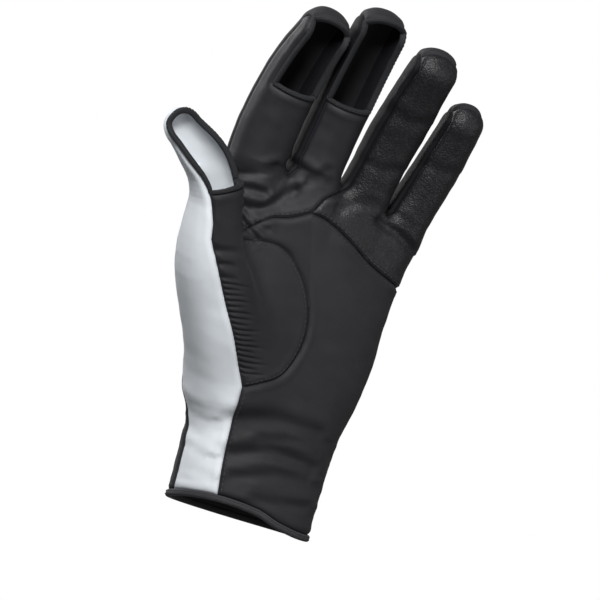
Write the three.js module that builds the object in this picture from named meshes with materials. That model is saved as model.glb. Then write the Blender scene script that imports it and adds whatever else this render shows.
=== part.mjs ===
// A fishing glove for the left hand, in the form that it has when worn: thumb, index and middle
// fingertips are cut open on the pad side, ring and little fingers are closed.
// Millimetres. +Z runs from the wrist to the fingers, -Y is the palm side, +X the little finger side.
// The origin is the middle of the wrist opening.

import * as THREE from 'three';

// Driving sizes
const clothWall = 2;
const seamGap = 0.36;
const wristBreadth = 66;
const wristDepth = 44;
const palmLength = 139;
const palmDepth = 36;
const webFall = 9;
const palmCrown = 7;
const fingerGap = 1.3;
const indexBreadth = 26;
const indexLength = 72;
const middleBreadth = 23.6;
const middleLength = 81;
const ringBreadth = 22;
const ringLength = 75;
const littleBreadth = 20;
const littleLength = 55;
const thumbBreadth = 30;
const thumbLength = 121;
const tipLength = 11;
const bindingWidth = 1.8;
const bindingProud = 0.35;
const cuffBindingHeight = 3;
const cuffWave = 4;
const shirrHeight = 0.5;
const foldDepth = 1.1;
const foldWidth = 4.5;
const bindingStep = 3.4;
const cuffBindingStep = 5;

// Counts of columns, rows and pieces
const fingerColumns = 5;
const wingColumns = 2;
const indexColumns = fingerColumns + wingColumns;
const tipRows = 4;
const webPoints = 3;
const thumbWebPoints = 4;
const thumbWebMiddle = thumbWebPoints / 2;
const thumbColumns = 8;
const ballColumns = thumbColumns - thumbWebMiddle;
const greyColumns = 10;
const greyLowColumns = greyColumns - thumbWebMiddle;
const shirrRibs = 18;
const ballPieces = 2 * shirrRibs + 8;
const ovalPieces = ballPieces / 2;
const ovalCorner = 11;
const palmTopPieces = 11;
const webSeamPieces = 6;
const centrelinePieces = 34;
const bindingSides = 6;
const cuffPoints = 48;
// Where a line bends more than this, a binding is rounded over the corner.
const cornerCosine = 0.8;

const degree = Math.PI / 180;
const mix = (a, b, share) => a + (b - a) * share;
const clamp = (value, low, high) => Math.min(Math.max(value, low), high);
const ease = (share) => {
  const t = clamp(share, 0, 1);
  return t * t * (3 - 2 * t);
};

// The breadth of the hand follows from the four fingers side by side.
const fingerRow = indexBreadth + middleBreadth + ringBreadth + littleBreadth + 3 * fingerGap;
const palmBreadth = 0.905 * fingerRow;

// A table's rows are joined by a smooth curve through each of its columns.
function smoothTable(rows, key, columns) {
  const slopes = {};
  for (const column of columns) {
    slopes[column] = rows.map((row, i) => {
      const before = rows[Math.max(i - 1, 0)];
      const after = rows[Math.min(i + 1, rows.length - 1)];
      return (after[column] - before[column]) / (after[key] - before[key]);
    });
  }
  return (at) => {
    const place = clamp(at, rows[0][key], rows[rows.length - 1][key]);
    let i = 0;
    while (i < rows.length - 2 && rows[i + 1][key] < place) i += 1;
    const span = rows[i + 1][key] - rows[i][key];
    const t = (place - rows[i][key]) / span;
    const found = {};
    for (const column of columns) {
      const a = rows[i][column];
      const b = rows[i + 1][column];
      const bend = slopes[column];
      found[column] = a * (1 - t) ** 2 * (1 + 2 * t) + b * t * t * (3 - 2 * t)
        + span * (bend[i] * t * (1 - t) ** 2 - bend[i + 1] * t * t * (1 - t));
    }
    return found;
  };
}

// The hand without its digits: sections up the wrist and palm. Lengths are shares of the breadth
// and depth of the wrist or of the palm; up is a share of the palm's length.
const handSections = [
  { up: -0.05, of: 'wrist', across: -0.02, front: 0.0, wide: 1.0, deep: 1.0 },
  { up: 0.12, of: 'wrist', across: -0.02, front: 0.0, wide: 0.99, deep: 0.99 },
  { up: 0.28, of: 'wrist', across: -0.015, front: 0.0, wide: 1.02, deep: 0.96 },
  { up: 0.42, of: 'palm', across: 0.0, front: 0.02, wide: 0.85, deep: 1.1 },
  { up: 0.6, of: 'palm', across: -0.01, front: 0.05, wide: 0.94, deep: 1.03 },
  { up: 0.78, of: 'palm', across: -0.03, front: 0.08, wide: 0.94, deep: 0.92 },
  { up: 0.9, of: 'palm', across: -0.03, front: 0.1, wide: 0.95, deep: 0.78 },
  { up: 1.0, of: 'palm', across: -0.01, front: 0.12, wide: 0.98, deep: 0.62 },
];
const girths = {
  wrist: { breadth: wristBreadth, depth: wristDepth },
  palm: { breadth: palmBreadth, depth: palmDepth },
};
const handSection = smoothTable(
  handSections.map(({ up, of, across, front, wide, deep }) => ({
    up,
    x: across * girths[of].breadth,
    y: -front * girths[of].depth,
    halfWidth: wide * girths[of].breadth / 2,
    halfDepth: deep * girths[of].depth / 2,
  })),
  'up',
  ['x', 'y', 'halfWidth', 'halfDepth'],
);
const handSquareness = 2.3;
const fingerSquareness = 2.25;
const bindingSquareness = 4;

const reachAt = (x) => palmLength - webFall * x / palmBreadth;
const superLength = (a, b, c, power) => (
  Math.abs(a) ** power + Math.abs(b) ** power + Math.abs(c) ** power) ** (1 / power);

// Distance outside the hand's own form, measured along the ray from the middle of the section.
function handDistance(x, y, z) {
  const reach = reachAt(x);
  const section = handSection(z / reach);
  const u = x - section.x;
  const v = y - section.y;
  const beyond = Math.max(z - reach, 0);
  const ratio = Math.max(superLength(
    u / section.halfWidth, v / section.halfDepth, beyond / palmCrown, handSquareness), 1e-6);
  return Math.hypot(u, v, beyond) * (1 - 1 / ratio);
}

// A digit is a tube along a bent centreline. Its table gives, at shares of its length from the
// web to the start of the tip, how far it leans to the little finger side and curls to the palm
// side in degrees, and its breadth and depth as shares of the digit's breadth.
function makeDigit({ base, length, breadth, root, rows, soften }) {
  const at = smoothTable(rows, 'along', ['lean', 'curl', 'wide', 'deep']);
  const heading = (along) => {
    const { lean, curl } = at(along);
    const side = lean * degree;
    const bend = curl * degree;
    return new THREE.Vector3(
      Math.sin(side) * Math.cos(bend), -Math.sin(bend), Math.cos(side) * Math.cos(bend));
  };
  const stationAt = (along, place) => {
    const ahead = heading(along);
    const palmward = new THREE.Vector3(0, -1, 0);
    palmward.addScaledVector(ahead, -palmward.dot(ahead)).normalize();
    const across = new THREE.Vector3().crossVectors(ahead, palmward);
    const { wide, deep } = at(along);
    return {
      along,
      place,
      ahead,
      palmward,
      across,
      halfWidth: wide * breadth / 2,
      halfDepth: deep * breadth / 2,
    };
  };
  const share = (1 - root) / centrelinePieces;
  const stations = [];
  const before = Math.round(-root / share);
  const place = base.clone();
  for (let i = 0; i < before; i += 1) {
    place.addScaledVector(heading(-(i + 0.5) * share), -share * length);
  }
  const first = -before * share;
  for (let i = 0; i <= centrelinePieces; i += 1) {
    const along = first + i * share;
    if (i > 0) place.addScaledVector(heading(along - share / 2), share * length);
    stations.push(stationAt(along, place.clone()));
  }
  return { stations, first, share, soften };
}

// The fingers stand side by side at the webs, each a finger gap from the next.
const firstWebX = -0.535 * fingerRow;
const middleX = firstWebX + indexBreadth + fingerGap + middleBreadth / 2;
const ringX = middleX + middleBreadth / 2 + fingerGap + ringBreadth / 2;
const littleX = ringX + ringBreadth / 2 + fingerGap + littleBreadth / 2;
const knuckleY = -0.12 * palmDepth;
const fingerBase = (x) => new THREE.Vector3(x, knuckleY, reachAt(x));

const indexFinger = makeDigit({
  base: fingerBase(firstWebX + indexBreadth / 2),
  length: indexLength,
  breadth: indexBreadth,
  root: -0.4,
  soften: 9,
  rows: [
    { along: -0.4, lean: -2, curl: 2, wide: 0.98, deep: 0.92 },
    { along: 0, lean: -1, curl: 9, wide: 0.99, deep: 0.98 },
    { along: 0.35, lean: 4, curl: 15, wide: 0.99, deep: 1.0 },
    { along: 0.7, lean: 8, curl: 24, wide: 0.96, deep: 0.96 },
    { along: 1, lean: 11, curl: 35, wide: 0.86, deep: 0.88 },
  ],
});
const middleFinger = makeDigit({
  base: fingerBase(middleX),
  length: middleLength,
  breadth: middleBreadth,
  root: -0.4,
  soften: 9,
  rows: [
    { along: -0.4, lean: 2, curl: 2, wide: 0.98, deep: 0.98 },
    { along: 0, lean: 3, curl: 9, wide: 0.98, deep: 1.02 },
    { along: 0.35, lean: 4, curl: 15, wide: 0.99, deep: 1.03 },
    { along: 0.7, lean: 2, curl: 24, wide: 0.99, deep: 1.0 },
    { along: 1, lean: 0, curl: 34, wide: 0.97, deep: 0.94 },
  ],
});
const ringFinger = makeDigit({
  base: fingerBase(ringX),
  length: ringLength,
  breadth: ringBreadth,
  root: -0.45,
  soften: 9,
  rows: [
    { along: -0.45, lean: 8, curl: 3, wide: 0.98, deep: 1.0 },
    { along: 0, lean: 10, curl: 11, wide: 0.99, deep: 1.04 },
    { along: 0.35, lean: 7, curl: 18, wide: 1.0, deep: 1.05 },
    { along: 0.7, lean: 5, curl: 27, wide: 1.0, deep: 1.02 },
    { along: 1, lean: 4, curl: 36, wide: 0.94, deep: 0.94 },
  ],
});
const littleFinger = makeDigit({
  base: fingerBase(littleX),
  length: littleLength,
  breadth: littleBreadth,
  root: -0.6,
  soften: 9,
  rows: [
    { along: -0.6, lean: 8, curl: 3, wide: 1.0, deep: 1.05 },
    { along: 0, lean: 13, curl: 10, wide: 1.0, deep: 1.08 },
    { along: 0.35, lean: 12, curl: 16, wide: 0.98, deep: 1.04 },
    { along: 0.7, lean: 8, curl: 22, wide: 0.94, deep: 0.98 },
    { along: 1, lean: 4, curl: 28, wide: 0.88, deep: 0.9 },
  ],
});
const thumb = makeDigit({
  base: new THREE.Vector3(-0.28 * palmBreadth, -0.17 * palmDepth, 0.4 * palmLength),
  length: thumbLength,
  breadth: thumbBreadth,
  root: 0,
  soften: 14,
  rows: [
    { along: 0, lean: -22, curl: 18, wide: 1.16, deep: 1.08 },
    { along: 0.22, lean: -34, curl: 19, wide: 1.16, deep: 1.12 },
    { along: 0.42, lean: -34, curl: 17, wide: 1.05, deep: 1.04 },
    { along: 0.56, lean: -18, curl: 14, wide: 0.94, deep: 0.93 },
    { along: 0.7, lean: -12, curl: 10, wide: 0.77, deep: 0.79 },
    { along: 0.79, lean: -32, curl: 7, wide: 0.74, deep: 0.74 },
    { along: 0.89, lean: -52, curl: 5, wide: 0.7, deep: 0.66 },
    { along: 1, lean: -56, curl: 4, wide: 0.56, deep: 0.5 },
  ],
});

// The nearest place on a digit's centreline: its share of the length and the section there.
function nearestStation(digit, x, y, z) {
  let best = Infinity;
  let at = 0;
  for (let i = 0; i < centrelinePieces; i += 1) {
    const a = digit.stations[i].place;
    const b = digit.stations[i + 1].place;
    const dx = b.x - a.x;
    const dy = b.y - a.y;
    const dz = b.z - a.z;
    const t = clamp(
      ((x - a.x) * dx + (y - a.y) * dy + (z - a.z) * dz) / (dx * dx + dy * dy + dz * dz), 0, 1);
    const far = (a.x + t * dx - x) ** 2 + (a.y + t * dy - y) ** 2 + (a.z + t * dz - z) ** 2;
    if (far < best) {
      best = far;
      at = i + t;
    }
  }
  return at;
}
function stationBetween(digit, at) {
  const i = clamp(Math.floor(at), 0, centrelinePieces - 1);
  const t = at - i;
  const a = digit.stations[i];
  const b = digit.stations[i + 1];
  return {
    along: mix(a.along, b.along, t),
    place: a.place.clone().lerp(b.place, t),
    ahead: a.ahead.clone().lerp(b.ahead, t),
    palmward: a.palmward.clone().lerp(b.palmward, t),
    across: a.across.clone().lerp(b.across, t),
    halfWidth: mix(a.halfWidth, b.halfWidth, t),
    halfDepth: mix(a.halfDepth, b.halfDepth, t),
  };
}
const stationOf = (digit, along) => stationBetween(digit, (along - digit.first) / digit.share);

function digitDistance(digit, x, y, z) {
  const station = stationBetween(digit, nearestStation(digit, x, y, z));
  const offset = new THREE.Vector3(x, y, z).sub(station.place);
  const ratio = Math.max(superLength(
    offset.dot(station.across) / station.halfWidth,
    offset.dot(station.palmward) / station.halfDepth,
    offset.dot(station.ahead) / tipLength,
    fingerSquareness), 1e-6);
  return offset.length() * (1 - 1 / ratio);
}

// The nearer of two distances, rounded off where they are alike
function blend(one, other, soften) {
  const overlap = Math.max(soften - Math.abs(one - other), 0) / soften;
  return Math.min(one, other) - overlap * overlap * soften / 4;
}

// The whole form: each digit runs smoothly into the hand, the thumb into all of it, and the
// fingers stay apart from each other.
function formDistance(x, y, z) {
  const hand = handDistance(x, y, z);
  let fingersSide = hand;
  for (const digit of [indexFinger, middleFinger, ringFinger, littleFinger]) {
    fingersSide = Math.min(
      fingersSide, blend(hand, digitDistance(digit, x, y, z), digit.soften));
  }
  return blend(fingersSide, digitDistance(thumb, x, y, z), thumb.soften);
}
const probe = 0.05;
function slopeAt(p) {
  return new THREE.Vector3(
    formDistance(p.x + probe, p.y, p.z) - formDistance(p.x - probe, p.y, p.z),
    formDistance(p.x, p.y + probe, p.z) - formDistance(p.x, p.y - probe, p.z),
    formDistance(p.x, p.y, p.z + probe) - formDistance(p.x, p.y, p.z - probe),
  ).divideScalar(2 * probe);
}

// Moves a point straight to the form along its steepest direction.
function settle(point) {
  const p = point.clone();
  for (let turn = 0; turn < 6; turn += 1) {
    const slope = slopeAt(p);
    const step = formDistance(p.x, p.y, p.z) / Math.max(slope.lengthSq(), 0.2);
    p.addScaledVector(slope, -step);
    if (Math.abs(step) < 1e-4) break;
  }
  return p;
}

// Places on the form. A turn of 0 faces the palm side, 90 the little finger side, 180 the back.
function ringOffset(turn, power) {
  const u = Math.sin(turn * degree);
  const v = Math.cos(turn * degree);
  const length = superLength(u, v, 0, power);
  return { u: u / length, v: v / length };
}
function onDigit(digit, turn, along) {
  const station = stationOf(digit, along);
  const { u, v } = ringOffset(turn, fingerSquareness);
  return settle(station.place.clone()
    .addScaledVector(station.across, u * station.halfWidth)
    .addScaledVector(station.palmward, v * station.halfDepth));
}
// Directions from the end of a centreline: across the digit, to the palm side, ahead. On a tip,
// side turns from the middle to its left or right, over from the palm side (0) across the end
// (90) to the back (180).
const ringDirection = (turn) => new THREE.Vector3(Math.sin(turn * degree), Math.cos(turn * degree), 0);
const tipDirection = (side, over) => new THREE.Vector3(
  Math.sin(side * degree),
  Math.cos(side * degree) * Math.cos(over * degree),
  Math.cos(side * degree) * Math.sin(over * degree));
function onTipTowards(digit, { x, y, z }) {
  const end = digit.stations[centrelinePieces];
  const length = superLength(x, y, z, fingerSquareness);
  return settle(end.place.clone()
    .addScaledVector(end.across, x / length * end.halfWidth)
    .addScaledVector(end.palmward, y / length * end.halfDepth)
    .addScaledVector(end.ahead, z / length * tipLength));
}
const onTip = (digit, side, over) => onTipTowards(digit, tipDirection(side, over));
function onHand(turn, z) {
  const section = handSection(z / palmLength);
  const { u, v } = ringOffset(turn, handSquareness);
  return settle(new THREE.Vector3(
    section.x + u * section.halfWidth, section.y - v * section.halfDepth, z));
}
// The first point met when moving from a place in the open, in small steps and then by halving.
function meet(placeAt, from, to) {
  const paces = 90;
  let open = from;
  let closed = to;
  for (let i = 1; i <= paces; i += 1) {
    const at = mix(from, to, i / paces);
    const p = placeAt(at);
    if (formDistance(p.x, p.y, p.z) < 0) {
      closed = at;
      break;
    }
    open = at;
  }
  for (let i = 0; i < 30; i += 1) {
    const at = (open + closed) / 2;
    const p = placeAt(at);
    if (formDistance(p.x, p.y, p.z) < 0) closed = at;
    else open = at;
  }
  return placeAt((open + closed) / 2);
}
// A place seen from the palm side: across is a share of the palm's breadth, up of its length.
const onFront = ({ across, up }) => meet(
  (y) => new THREE.Vector3(across * palmBreadth, y, up * palmLength), -3 * palmDepth, palmDepth);

// The turn and share of the length at which a point lies on a digit.
function chartOf(digit, point) {
  const station = stationBetween(digit, nearestStation(digit, point.x, point.y, point.z));
  const offset = point.clone().sub(station.place);
  const u = offset.dot(station.across) / station.halfWidth;
  const v = offset.dot(station.palmward) / station.halfDepth;
  return { turn: Math.atan2(u, v) / degree, along: station.along };
}

// The saddle between two neighbouring digits, from its palm side end to its back end.
function saddle(left, right, front, back, points, high) {
  const atHeight = (digit, z) => {
    let i = 0;
    while (i < centrelinePieces - 1 && digit.stations[i + 1].place.z < z) i += 1;
    const a = digit.stations[i].place.z;
    const b = digit.stations[i + 1].place.z;
    return stationBetween(digit, i + clamp((z - a) / (b - a), i > 0 ? 0 : -9, 1));
  };
  const found = [];
  for (let i = 0; i <= points; i += 1) {
    const palmward = mix(front, -back, i / points);
    found.push(meet((z) => {
      const a = atHeight(left, z);
      const b = atHeight(right, z);
      const dx = b.place.x - a.place.x;
      const dy = b.place.y - a.place.y;
      const far = Math.hypot(dx, dy);
      const half = (far + a.halfWidth - b.halfWidth) / 2;
      return new THREE.Vector3(
        a.place.x + (dx * half + dy * palmward) / far,
        a.place.y + (dy * half - dx * palmward) / far,
        z);
    }, high, 0.5 * palmLength));
  }
  return found;
}

// Lines of points on the form
function seam(places, pieces) {
  const line = new THREE.CatmullRomCurve3(places, false, 'centripetal').getSpacedPoints(pieces);
  return line.map((point, i) => {
    if (i === 0) return places[0];
    if (i === pieces) return places[places.length - 1];
    return settle(point);
  });
}
const joined = (...lines) => lines.reduce((all, line) => all.concat(line.slice(1)), [lines[0][0]]);
const reversed = (line) => line.slice().reverse();
const steps = (count, make) => Array.from({ length: count + 1 }, (_, i) => make(i / count, i));

// Fills the space inside four edges: each inner point is led by all four, then settles on the form.
function fill(bottom, top, left, right) {
  const across = bottom.length - 1;
  const up = left.length - 1;
  const rows = [];
  for (let j = 0; j <= up; j += 1) {
    const v = j / up;
    rows.push(steps(across, (u, i) => {
      if (j === 0) return bottom[i];
      if (j === up) return top[i];
      if (i === 0) return left[j];
      if (i === across) return right[j];
      const point = new THREE.Vector3()
        .addScaledVector(bottom[i], 1 - v).addScaledVector(top[i], v)
        .addScaledVector(left[j], 1 - u).addScaledVector(right[j], u)
        .addScaledVector(bottom[0], -(1 - u) * (1 - v)).addScaledVector(bottom[across], -u * (1 - v))
        .addScaledVector(top[0], -(1 - u) * v).addScaledVector(top[across], -u * v);
      return settle(point);
    }));
  }
  return rows;
}

// Webs and saddles
const webFront = 0.19 * palmDepth;
const webBack = 0.24 * palmDepth;
const webHigh = palmLength + 0.35 * indexBreadth;
const webs = [
  saddle(indexFinger, middleFinger, webFront, webBack, webPoints, webHigh),
  saddle(middleFinger, ringFinger, webFront, webBack, webPoints, webHigh),
  saddle(ringFinger, littleFinger, webFront, webBack, webPoints, webHigh - webFall / 2),
];
const thumbWeb = saddle(
  thumb, indexFinger, 0.22 * thumbBreadth, 0.15 * thumbBreadth, thumbWebPoints, 0.95 * palmLength);

// Seam turns round the fingers
const frontTurn = 62;
const backTurn = 130;
const sideTurn = 98;
const littleSideTurn = 92;
const tipTurn = 58;
const lipOver = 74;
// The first station above a web, and the stretch in which a seam reaches its turn, as shares of
// the digit's length
const webClear = 0.05;
const seamEase = 0.2;

// The stations of a finger, from just above its webs to the start of the tip, with one where
// the opening begins.
function fingerStations(low, open, count) {
  if (open === null) return steps(count, (share) => mix(low, 1, share));
  const below = Math.round(count * (open - low) / (1 - low));
  return steps(below, (share) => mix(low, open, share))
    .concat(steps(count - below, (share) => mix(open, 1, share)).slice(1));
}
const fingers = [
  { digit: indexFinger, web: [null, webs[0]], open: 0.6, count: 9 },
  { digit: middleFinger, web: [webs[0], webs[1]], open: 0.56, count: 10 },
  { digit: ringFinger, web: [webs[1], webs[2]], open: null, count: 9 },
  { digit: littleFinger, web: [webs[2], null], open: null, count: 7 },
];
for (const finger of fingers) {
  const ends = finger.web.filter((web) => web).flatMap((web) => [web[0], web[webPoints]]);
  const highest = Math.max(...ends.map((end) => chartOf(finger.digit, end).along));
  finger.alongs = fingerStations(highest + webClear, finger.open, finger.count);
  finger.lip = finger.open === null ? 90 : lipOver;
}

// A seam beside a web starts at the web's end and eases to its own turn further up.
function seamTurn(finger, side, steady, end) {
  const start = chartOf(finger.digit, end);
  const sign = side === 'left' ? -1 : 1;
  let from = start.turn;
  if (sign * from < 0) from += sign * 360;
  return (along) => mix(from, sign * steady, ease((along - start.along) / seamEase));
}
for (const finger of fingers) {
  const [left, right] = finger.web;
  finger.frontLeft = left
    ? seamTurn(finger, 'left', frontTurn, left[0]) : () => -sideTurn;
  finger.frontRight = right
    ? seamTurn(finger, 'right', frontTurn, right[0]) : () => littleSideTurn;
  finger.backLeft = left
    ? seamTurn(finger, 'left', backTurn, left[webPoints]) : () => -sideTurn;
  finger.backRight = right
    ? seamTurn(finger, 'right', backTurn, right[webPoints]) : () => littleSideTurn;
}
// Where the tip begins, a seam leaves its turn round the finger for a turn to the side.
const frontSide = (turn, share) => mix(clamp(turn, -90, 90), Math.sign(turn) * tipTurn, share);
const backSide = (turn, share) => mix(
  Math.sign(turn) * (180 - Math.abs(turn)), Math.sign(turn) * tipTurn, share);

// The rows of seam points up one side of a finger, from the first station to the end of the tip.
function frontSeam(finger, side) {
  const turnAt = side === 'left' ? finger.frontLeft : finger.frontRight;
  const free = side === 'left' ? !finger.web[0] : !finger.web[1];
  const rows = finger.alongs.map((along) => ({ turn: turnAt(along), along }));
  for (let i = 1; i <= tipRows; i += 1) {
    const share = i / tipRows;
    const turn = free && finger.open === null ? Math.sign(turnAt(1)) * 90 : turnAt(1);
    rows.push({
      side: free && finger.open === null ? turn : frontSide(turn, share),
      over: finger.lip * share,
    });
  }
  return rows;
}
function backSeam(finger, side) {
  const turnAt = side === 'left' ? finger.backLeft : finger.backRight;
  const free = side === 'left' ? !finger.web[0] : !finger.web[1];
  const rows = finger.alongs.map((along) => ({ turn: turnAt(along), along }));
  for (let i = 1; i <= tipRows; i += 1) {
    const share = i / tipRows;
    const turn = turnAt(1);
    rows.push({
      side: free && finger.open === null ? Math.sign(turn) * 90 : backSide(turn, share),
      over: mix(180, finger.lip, share),
    });
  }
  return rows;
}
function between(digit, a, b, share, through) {
  if (a.along !== undefined) {
    let from = a.turn;
    const to = b.turn;
    if (through === 'back') from += 360;
    return onDigit(digit, mix(from, to, share), mix(a.along, b.along, share));
  }
  return onTip(digit, mix(a.side, b.side, share), mix(a.over, b.over, share));
}
const tongue = (finger, leftRows, rightRows, columns, through) => leftRows.map((left, j) => (
  steps(columns, (share) => between(finger.digit, left, rightRows[j], share, through))));

// The row of a finger's base between its web ends, across the front or across the back.
function baseRow(finger, which, columns) {
  const at = which === 'front' ? 0 : webPoints;
  const [left, right] = finger.web;
  const low = (finger.alongs[0] - webClear) / 2;
  const a = left ? chartOf(finger.digit, left[at]) : { turn: -sideTurn, along: low };
  const b = right ? chartOf(finger.digit, right[at]) : { turn: littleSideTurn, along: low };
  const from = which === 'back' ? a.turn + 360 : a.turn;
  return steps(columns, (share, i) => {
    if (i === 0 && left) return left[at];
    if (i === columns && right) return right[at];
    return onDigit(finger.digit, mix(from, b.turn, share), mix(a.along, b.along, share));
  });
}

// The side of a finger between its front and back seams, at one row of them.
function sideRow(digit, front, back, columns) {
  if (front.along !== undefined) {
    return steps(columns, (share) => onDigit(digit, mix(front.turn, back.turn, share), front.along));
  }
  const ends = [onTip(digit, front.side, front.over), onTip(digit, back.side, back.over)];
  return steps(columns, (share, i) => {
    if (i === 0) return ends[0];
    if (i === columns) return ends[1];
    return settle(ends[0].clone().lerp(ends[1], share));
  });
}

for (const finger of fingers) {
  finger.rows = {
    frontLeft: frontSeam(finger, 'left'),
    frontRight: frontSeam(finger, 'right'),
    backLeft: backSeam(finger, 'left'),
    backRight: backSeam(finger, 'right'),
  };
  const frontColumns = finger.digit === indexFinger ? indexColumns : fingerColumns;
  finger.frontBase = baseRow(finger, 'front', frontColumns);
  finger.backBase = baseRow(finger, 'back', fingerColumns);
  finger.openRow = finger.open === null
    ? finger.alongs.length + tipRows - 1
    : finger.alongs.findIndex((along) => Math.abs(along - finger.open) < 1e-9);
  const { rows, openRow } = finger;
  const front = tongue(
    finger, rows.frontLeft.slice(0, openRow + 1), rows.frontRight.slice(0, openRow + 1),
    frontColumns, 'front');
  finger.front = [finger.frontBase, ...front];
  finger.back = [finger.backBase, ...tongue(
    finger, rows.backLeft, rows.backRight, fingerColumns, 'back')];
}
const [index, middle, ring, little] = fingers;

// The index finger's front runs up beside its opening, on the thumb side, to the end of the tip.
const wingTurn = mix(-sideTurn, frontTurn, wingColumns / indexColumns);
const indexWing = index.rows.backLeft.slice(index.openRow).map((back, j) => {
  const row = index.rows.frontLeft[index.openRow + j];
  const tipShare = (index.openRow + j + 1 - index.alongs.length) / tipRows;
  const edge = row.along === undefined
    ? { side: mix(wingTurn, -tipTurn, tipShare), over: row.over }
    : { turn: wingTurn, along: row.along };
  return reversed(sideRow(index.digit, edge, back, wingColumns));
});

// The seams over the palm, seen from the palm side: across is a share of the palm's breadth
// from the middle, up a share of its length from the wrist.
const seamJoin = onFront({ across: -0.13, up: 0.965 });
const lowerSeam = [
  { across: -0.02, up: 0.95 },
  { across: 0.12, up: 0.905 },
  { across: 0.26, up: 0.855 },
];
const upperSeam = [
  { across: -0.33, up: 0.915 },
  { across: -0.23, up: 0.935 },
];
const wristCorner = onFront({ across: -0.275, up: 0.39 });
const ovalSeam = [
  { across: -0.19, up: 0.415 },
  { across: -0.08, up: 0.455 },
  { across: -0.02, up: 0.53 },
  { across: -0.005, up: 0.61 },
  { across: -0.04, up: 0.7 },
  { across: -0.12, up: 0.78 },
  { across: -0.24, up: 0.84 },
];
const greyFrontSeam = [
  { across: -0.335, up: 0.45 },
  { across: -0.425, up: 0.54 },
  { across: -0.505, up: 0.62 },
  { across: -0.58, up: 0.7 },
];

// The cuff's edge, higher on the palm side and lower on the little finger side
const cuffRise = smoothTable([
  { turn: -270, rise: -0.72 },
  { turn: -180, rise: -0.4 },
  { turn: -95, rise: 0.28 },
  { turn: -35, rise: 1.0 },
  { turn: 0, rise: 0.6 },
  { turn: 20, rise: -0.25 },
  { turn: 45, rise: -0.75 },
  { turn: 90, rise: -0.72 },
], 'turn', ['rise']);
const onCuff = (turn) => onHand(turn, cuffBindingHeight + cuffWave * cuffRise(turn).rise);
const greyFrontTurn = -34;
const greyBackTurn = -88;
const ulnarTurn = 93;

// The long seams of the hand
const cuffFront = onCuff(greyFrontTurn);
const cuffBack = onCuff(greyBackTurn);
const cuffUlnar = onCuff(ulnarTurn);
const thumbWebFront = thumbWeb[0];
const thumbWebBack = thumbWeb[thumbWebPoints];
const middleRingSeam = seam([webs[1][0], onFront({ across: -0.07, up: 1.02 }), seamJoin], 3);
const lowSeam = seam(
  [seamJoin, ...lowerSeam.map(onFront), onHand(ulnarTurn, 0.8 * palmLength)],
  palmTopPieces);
const seamEnd = lowSeam[palmTopPieces];
const highSeam = seam([thumbWebFront, ...upperSeam.map(onFront), seamJoin], 5);
const thumbSeam = seam([wristCorner, ...ovalSeam.map(onFront), thumbWebFront], ballPieces);
const wristSeam = seam([cuffFront, onHand(greyFrontTurn - 3, 0.2 * palmLength), wristCorner], 8);
const littleWebEnd = little.frontBase[fingerColumns];
const ulnarLow = seam([cuffUlnar, onHand(ulnarTurn, 0.4 * palmLength), seamEnd], 22);
const ulnarHigh = seam([seamEnd, littleWebEnd], webSeamPieces);
const indexWebEnd = index.frontBase[0];
const radialSeam = seam([thumbWebBack, onHand(-99, 0.88 * palmLength), indexWebEnd], webSeamPieces);
const backSeamLow = seam([
  cuffBack,
  onHand(-90, 0.2 * palmLength),
  onHand(-93, 0.4 * palmLength),
  onHand(-112, 0.58 * palmLength),
  thumbWebBack,
], 14);

// The thumb's tube above the web, and the opening on its pad side
const thumbOpen = 0.76;
const thumbPadTurn = 20;
const openingMiddle = 0.6;
const thumbLow = Math.max(...thumbWeb.map((point) => chartOf(thumb, point).along)) + webClear;
const thumbAlongs = fingerStations(thumbLow, thumbOpen, 9);
const thumbOpenRow = thumbAlongs.findIndex((along) => Math.abs(along - thumbOpen) < 1e-9);
const thumbGreyTurn = (along) => (along < thumbOpen
  ? mix(-27, -36, (along - thumbLow) / (thumbOpen - thumbLow))
  : mix(-36, -62, (along - thumbOpen) / (1 - thumbOpen)));
const thumbUlnarTurn = 104;
const thumbLip = 84;
const thumbLipSide = 34;
const thumbRows = thumbAlongs.map((along) => ({ left: thumbGreyTurn(along), along }));
const frontBand = thumbRows.slice(0, thumbOpenRow + 1).map(({ left, along }) => (
  steps(thumbColumns, (share) => onDigit(thumb, mix(left, thumbUlnarTurn, share), along))));
const thumbBase = onDigit(thumb, thumbGreyTurn(thumbLow), thumbLow - webClear);
const greySeam = seam([wristCorner, ...greyFrontSeam.map(onFront), thumbBase], ballPieces);
// A line on the thumb from the foot of the grey panel's seam to one end of the web
function thumbFoot(end, columns, turnShift) {
  const from = chartOf(thumb, thumbBase);
  const to = chartOf(thumb, end);
  return steps(columns, (share, i) => {
    if (i === 0) return thumbBase;
    if (i === columns) return end;
    return onDigit(
      thumb, mix(from.turn, to.turn + turnShift, share), mix(from.along, to.along, share));
  });
}
const ballTop = thumbFoot(thumbWebFront, ballColumns, 0);
const frontWebRow = joined(ballTop, thumbWeb.slice(0, thumbWebMiddle + 1));
const backShift = chartOf(thumb, thumbWebBack).turn > 0 ? -360 : 0;
const greyTop = thumbFoot(thumbWebBack, greyLowColumns, backShift);
const greyWebRow = joined(greyTop, reversed(thumbWeb.slice(thumbWebMiddle)));
const greyBand = thumbRows.map(({ left, along }) => (
  steps(greyColumns, (share) => onDigit(thumb, mix(left, thumbUlnarTurn - 360, share), along))));
for (let i = 1; i <= tipRows; i += 1) {
  greyBand.push(steps(greyColumns, (across) => onTipTowards(
    thumb,
    ringDirection(mix(thumbGreyTurn(1), thumbUlnarTurn - 360, across))
      .lerp(tipDirection(mix(-thumbLipSide, thumbLipSide, across), thumbLip), i / tipRows))));
}

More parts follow.
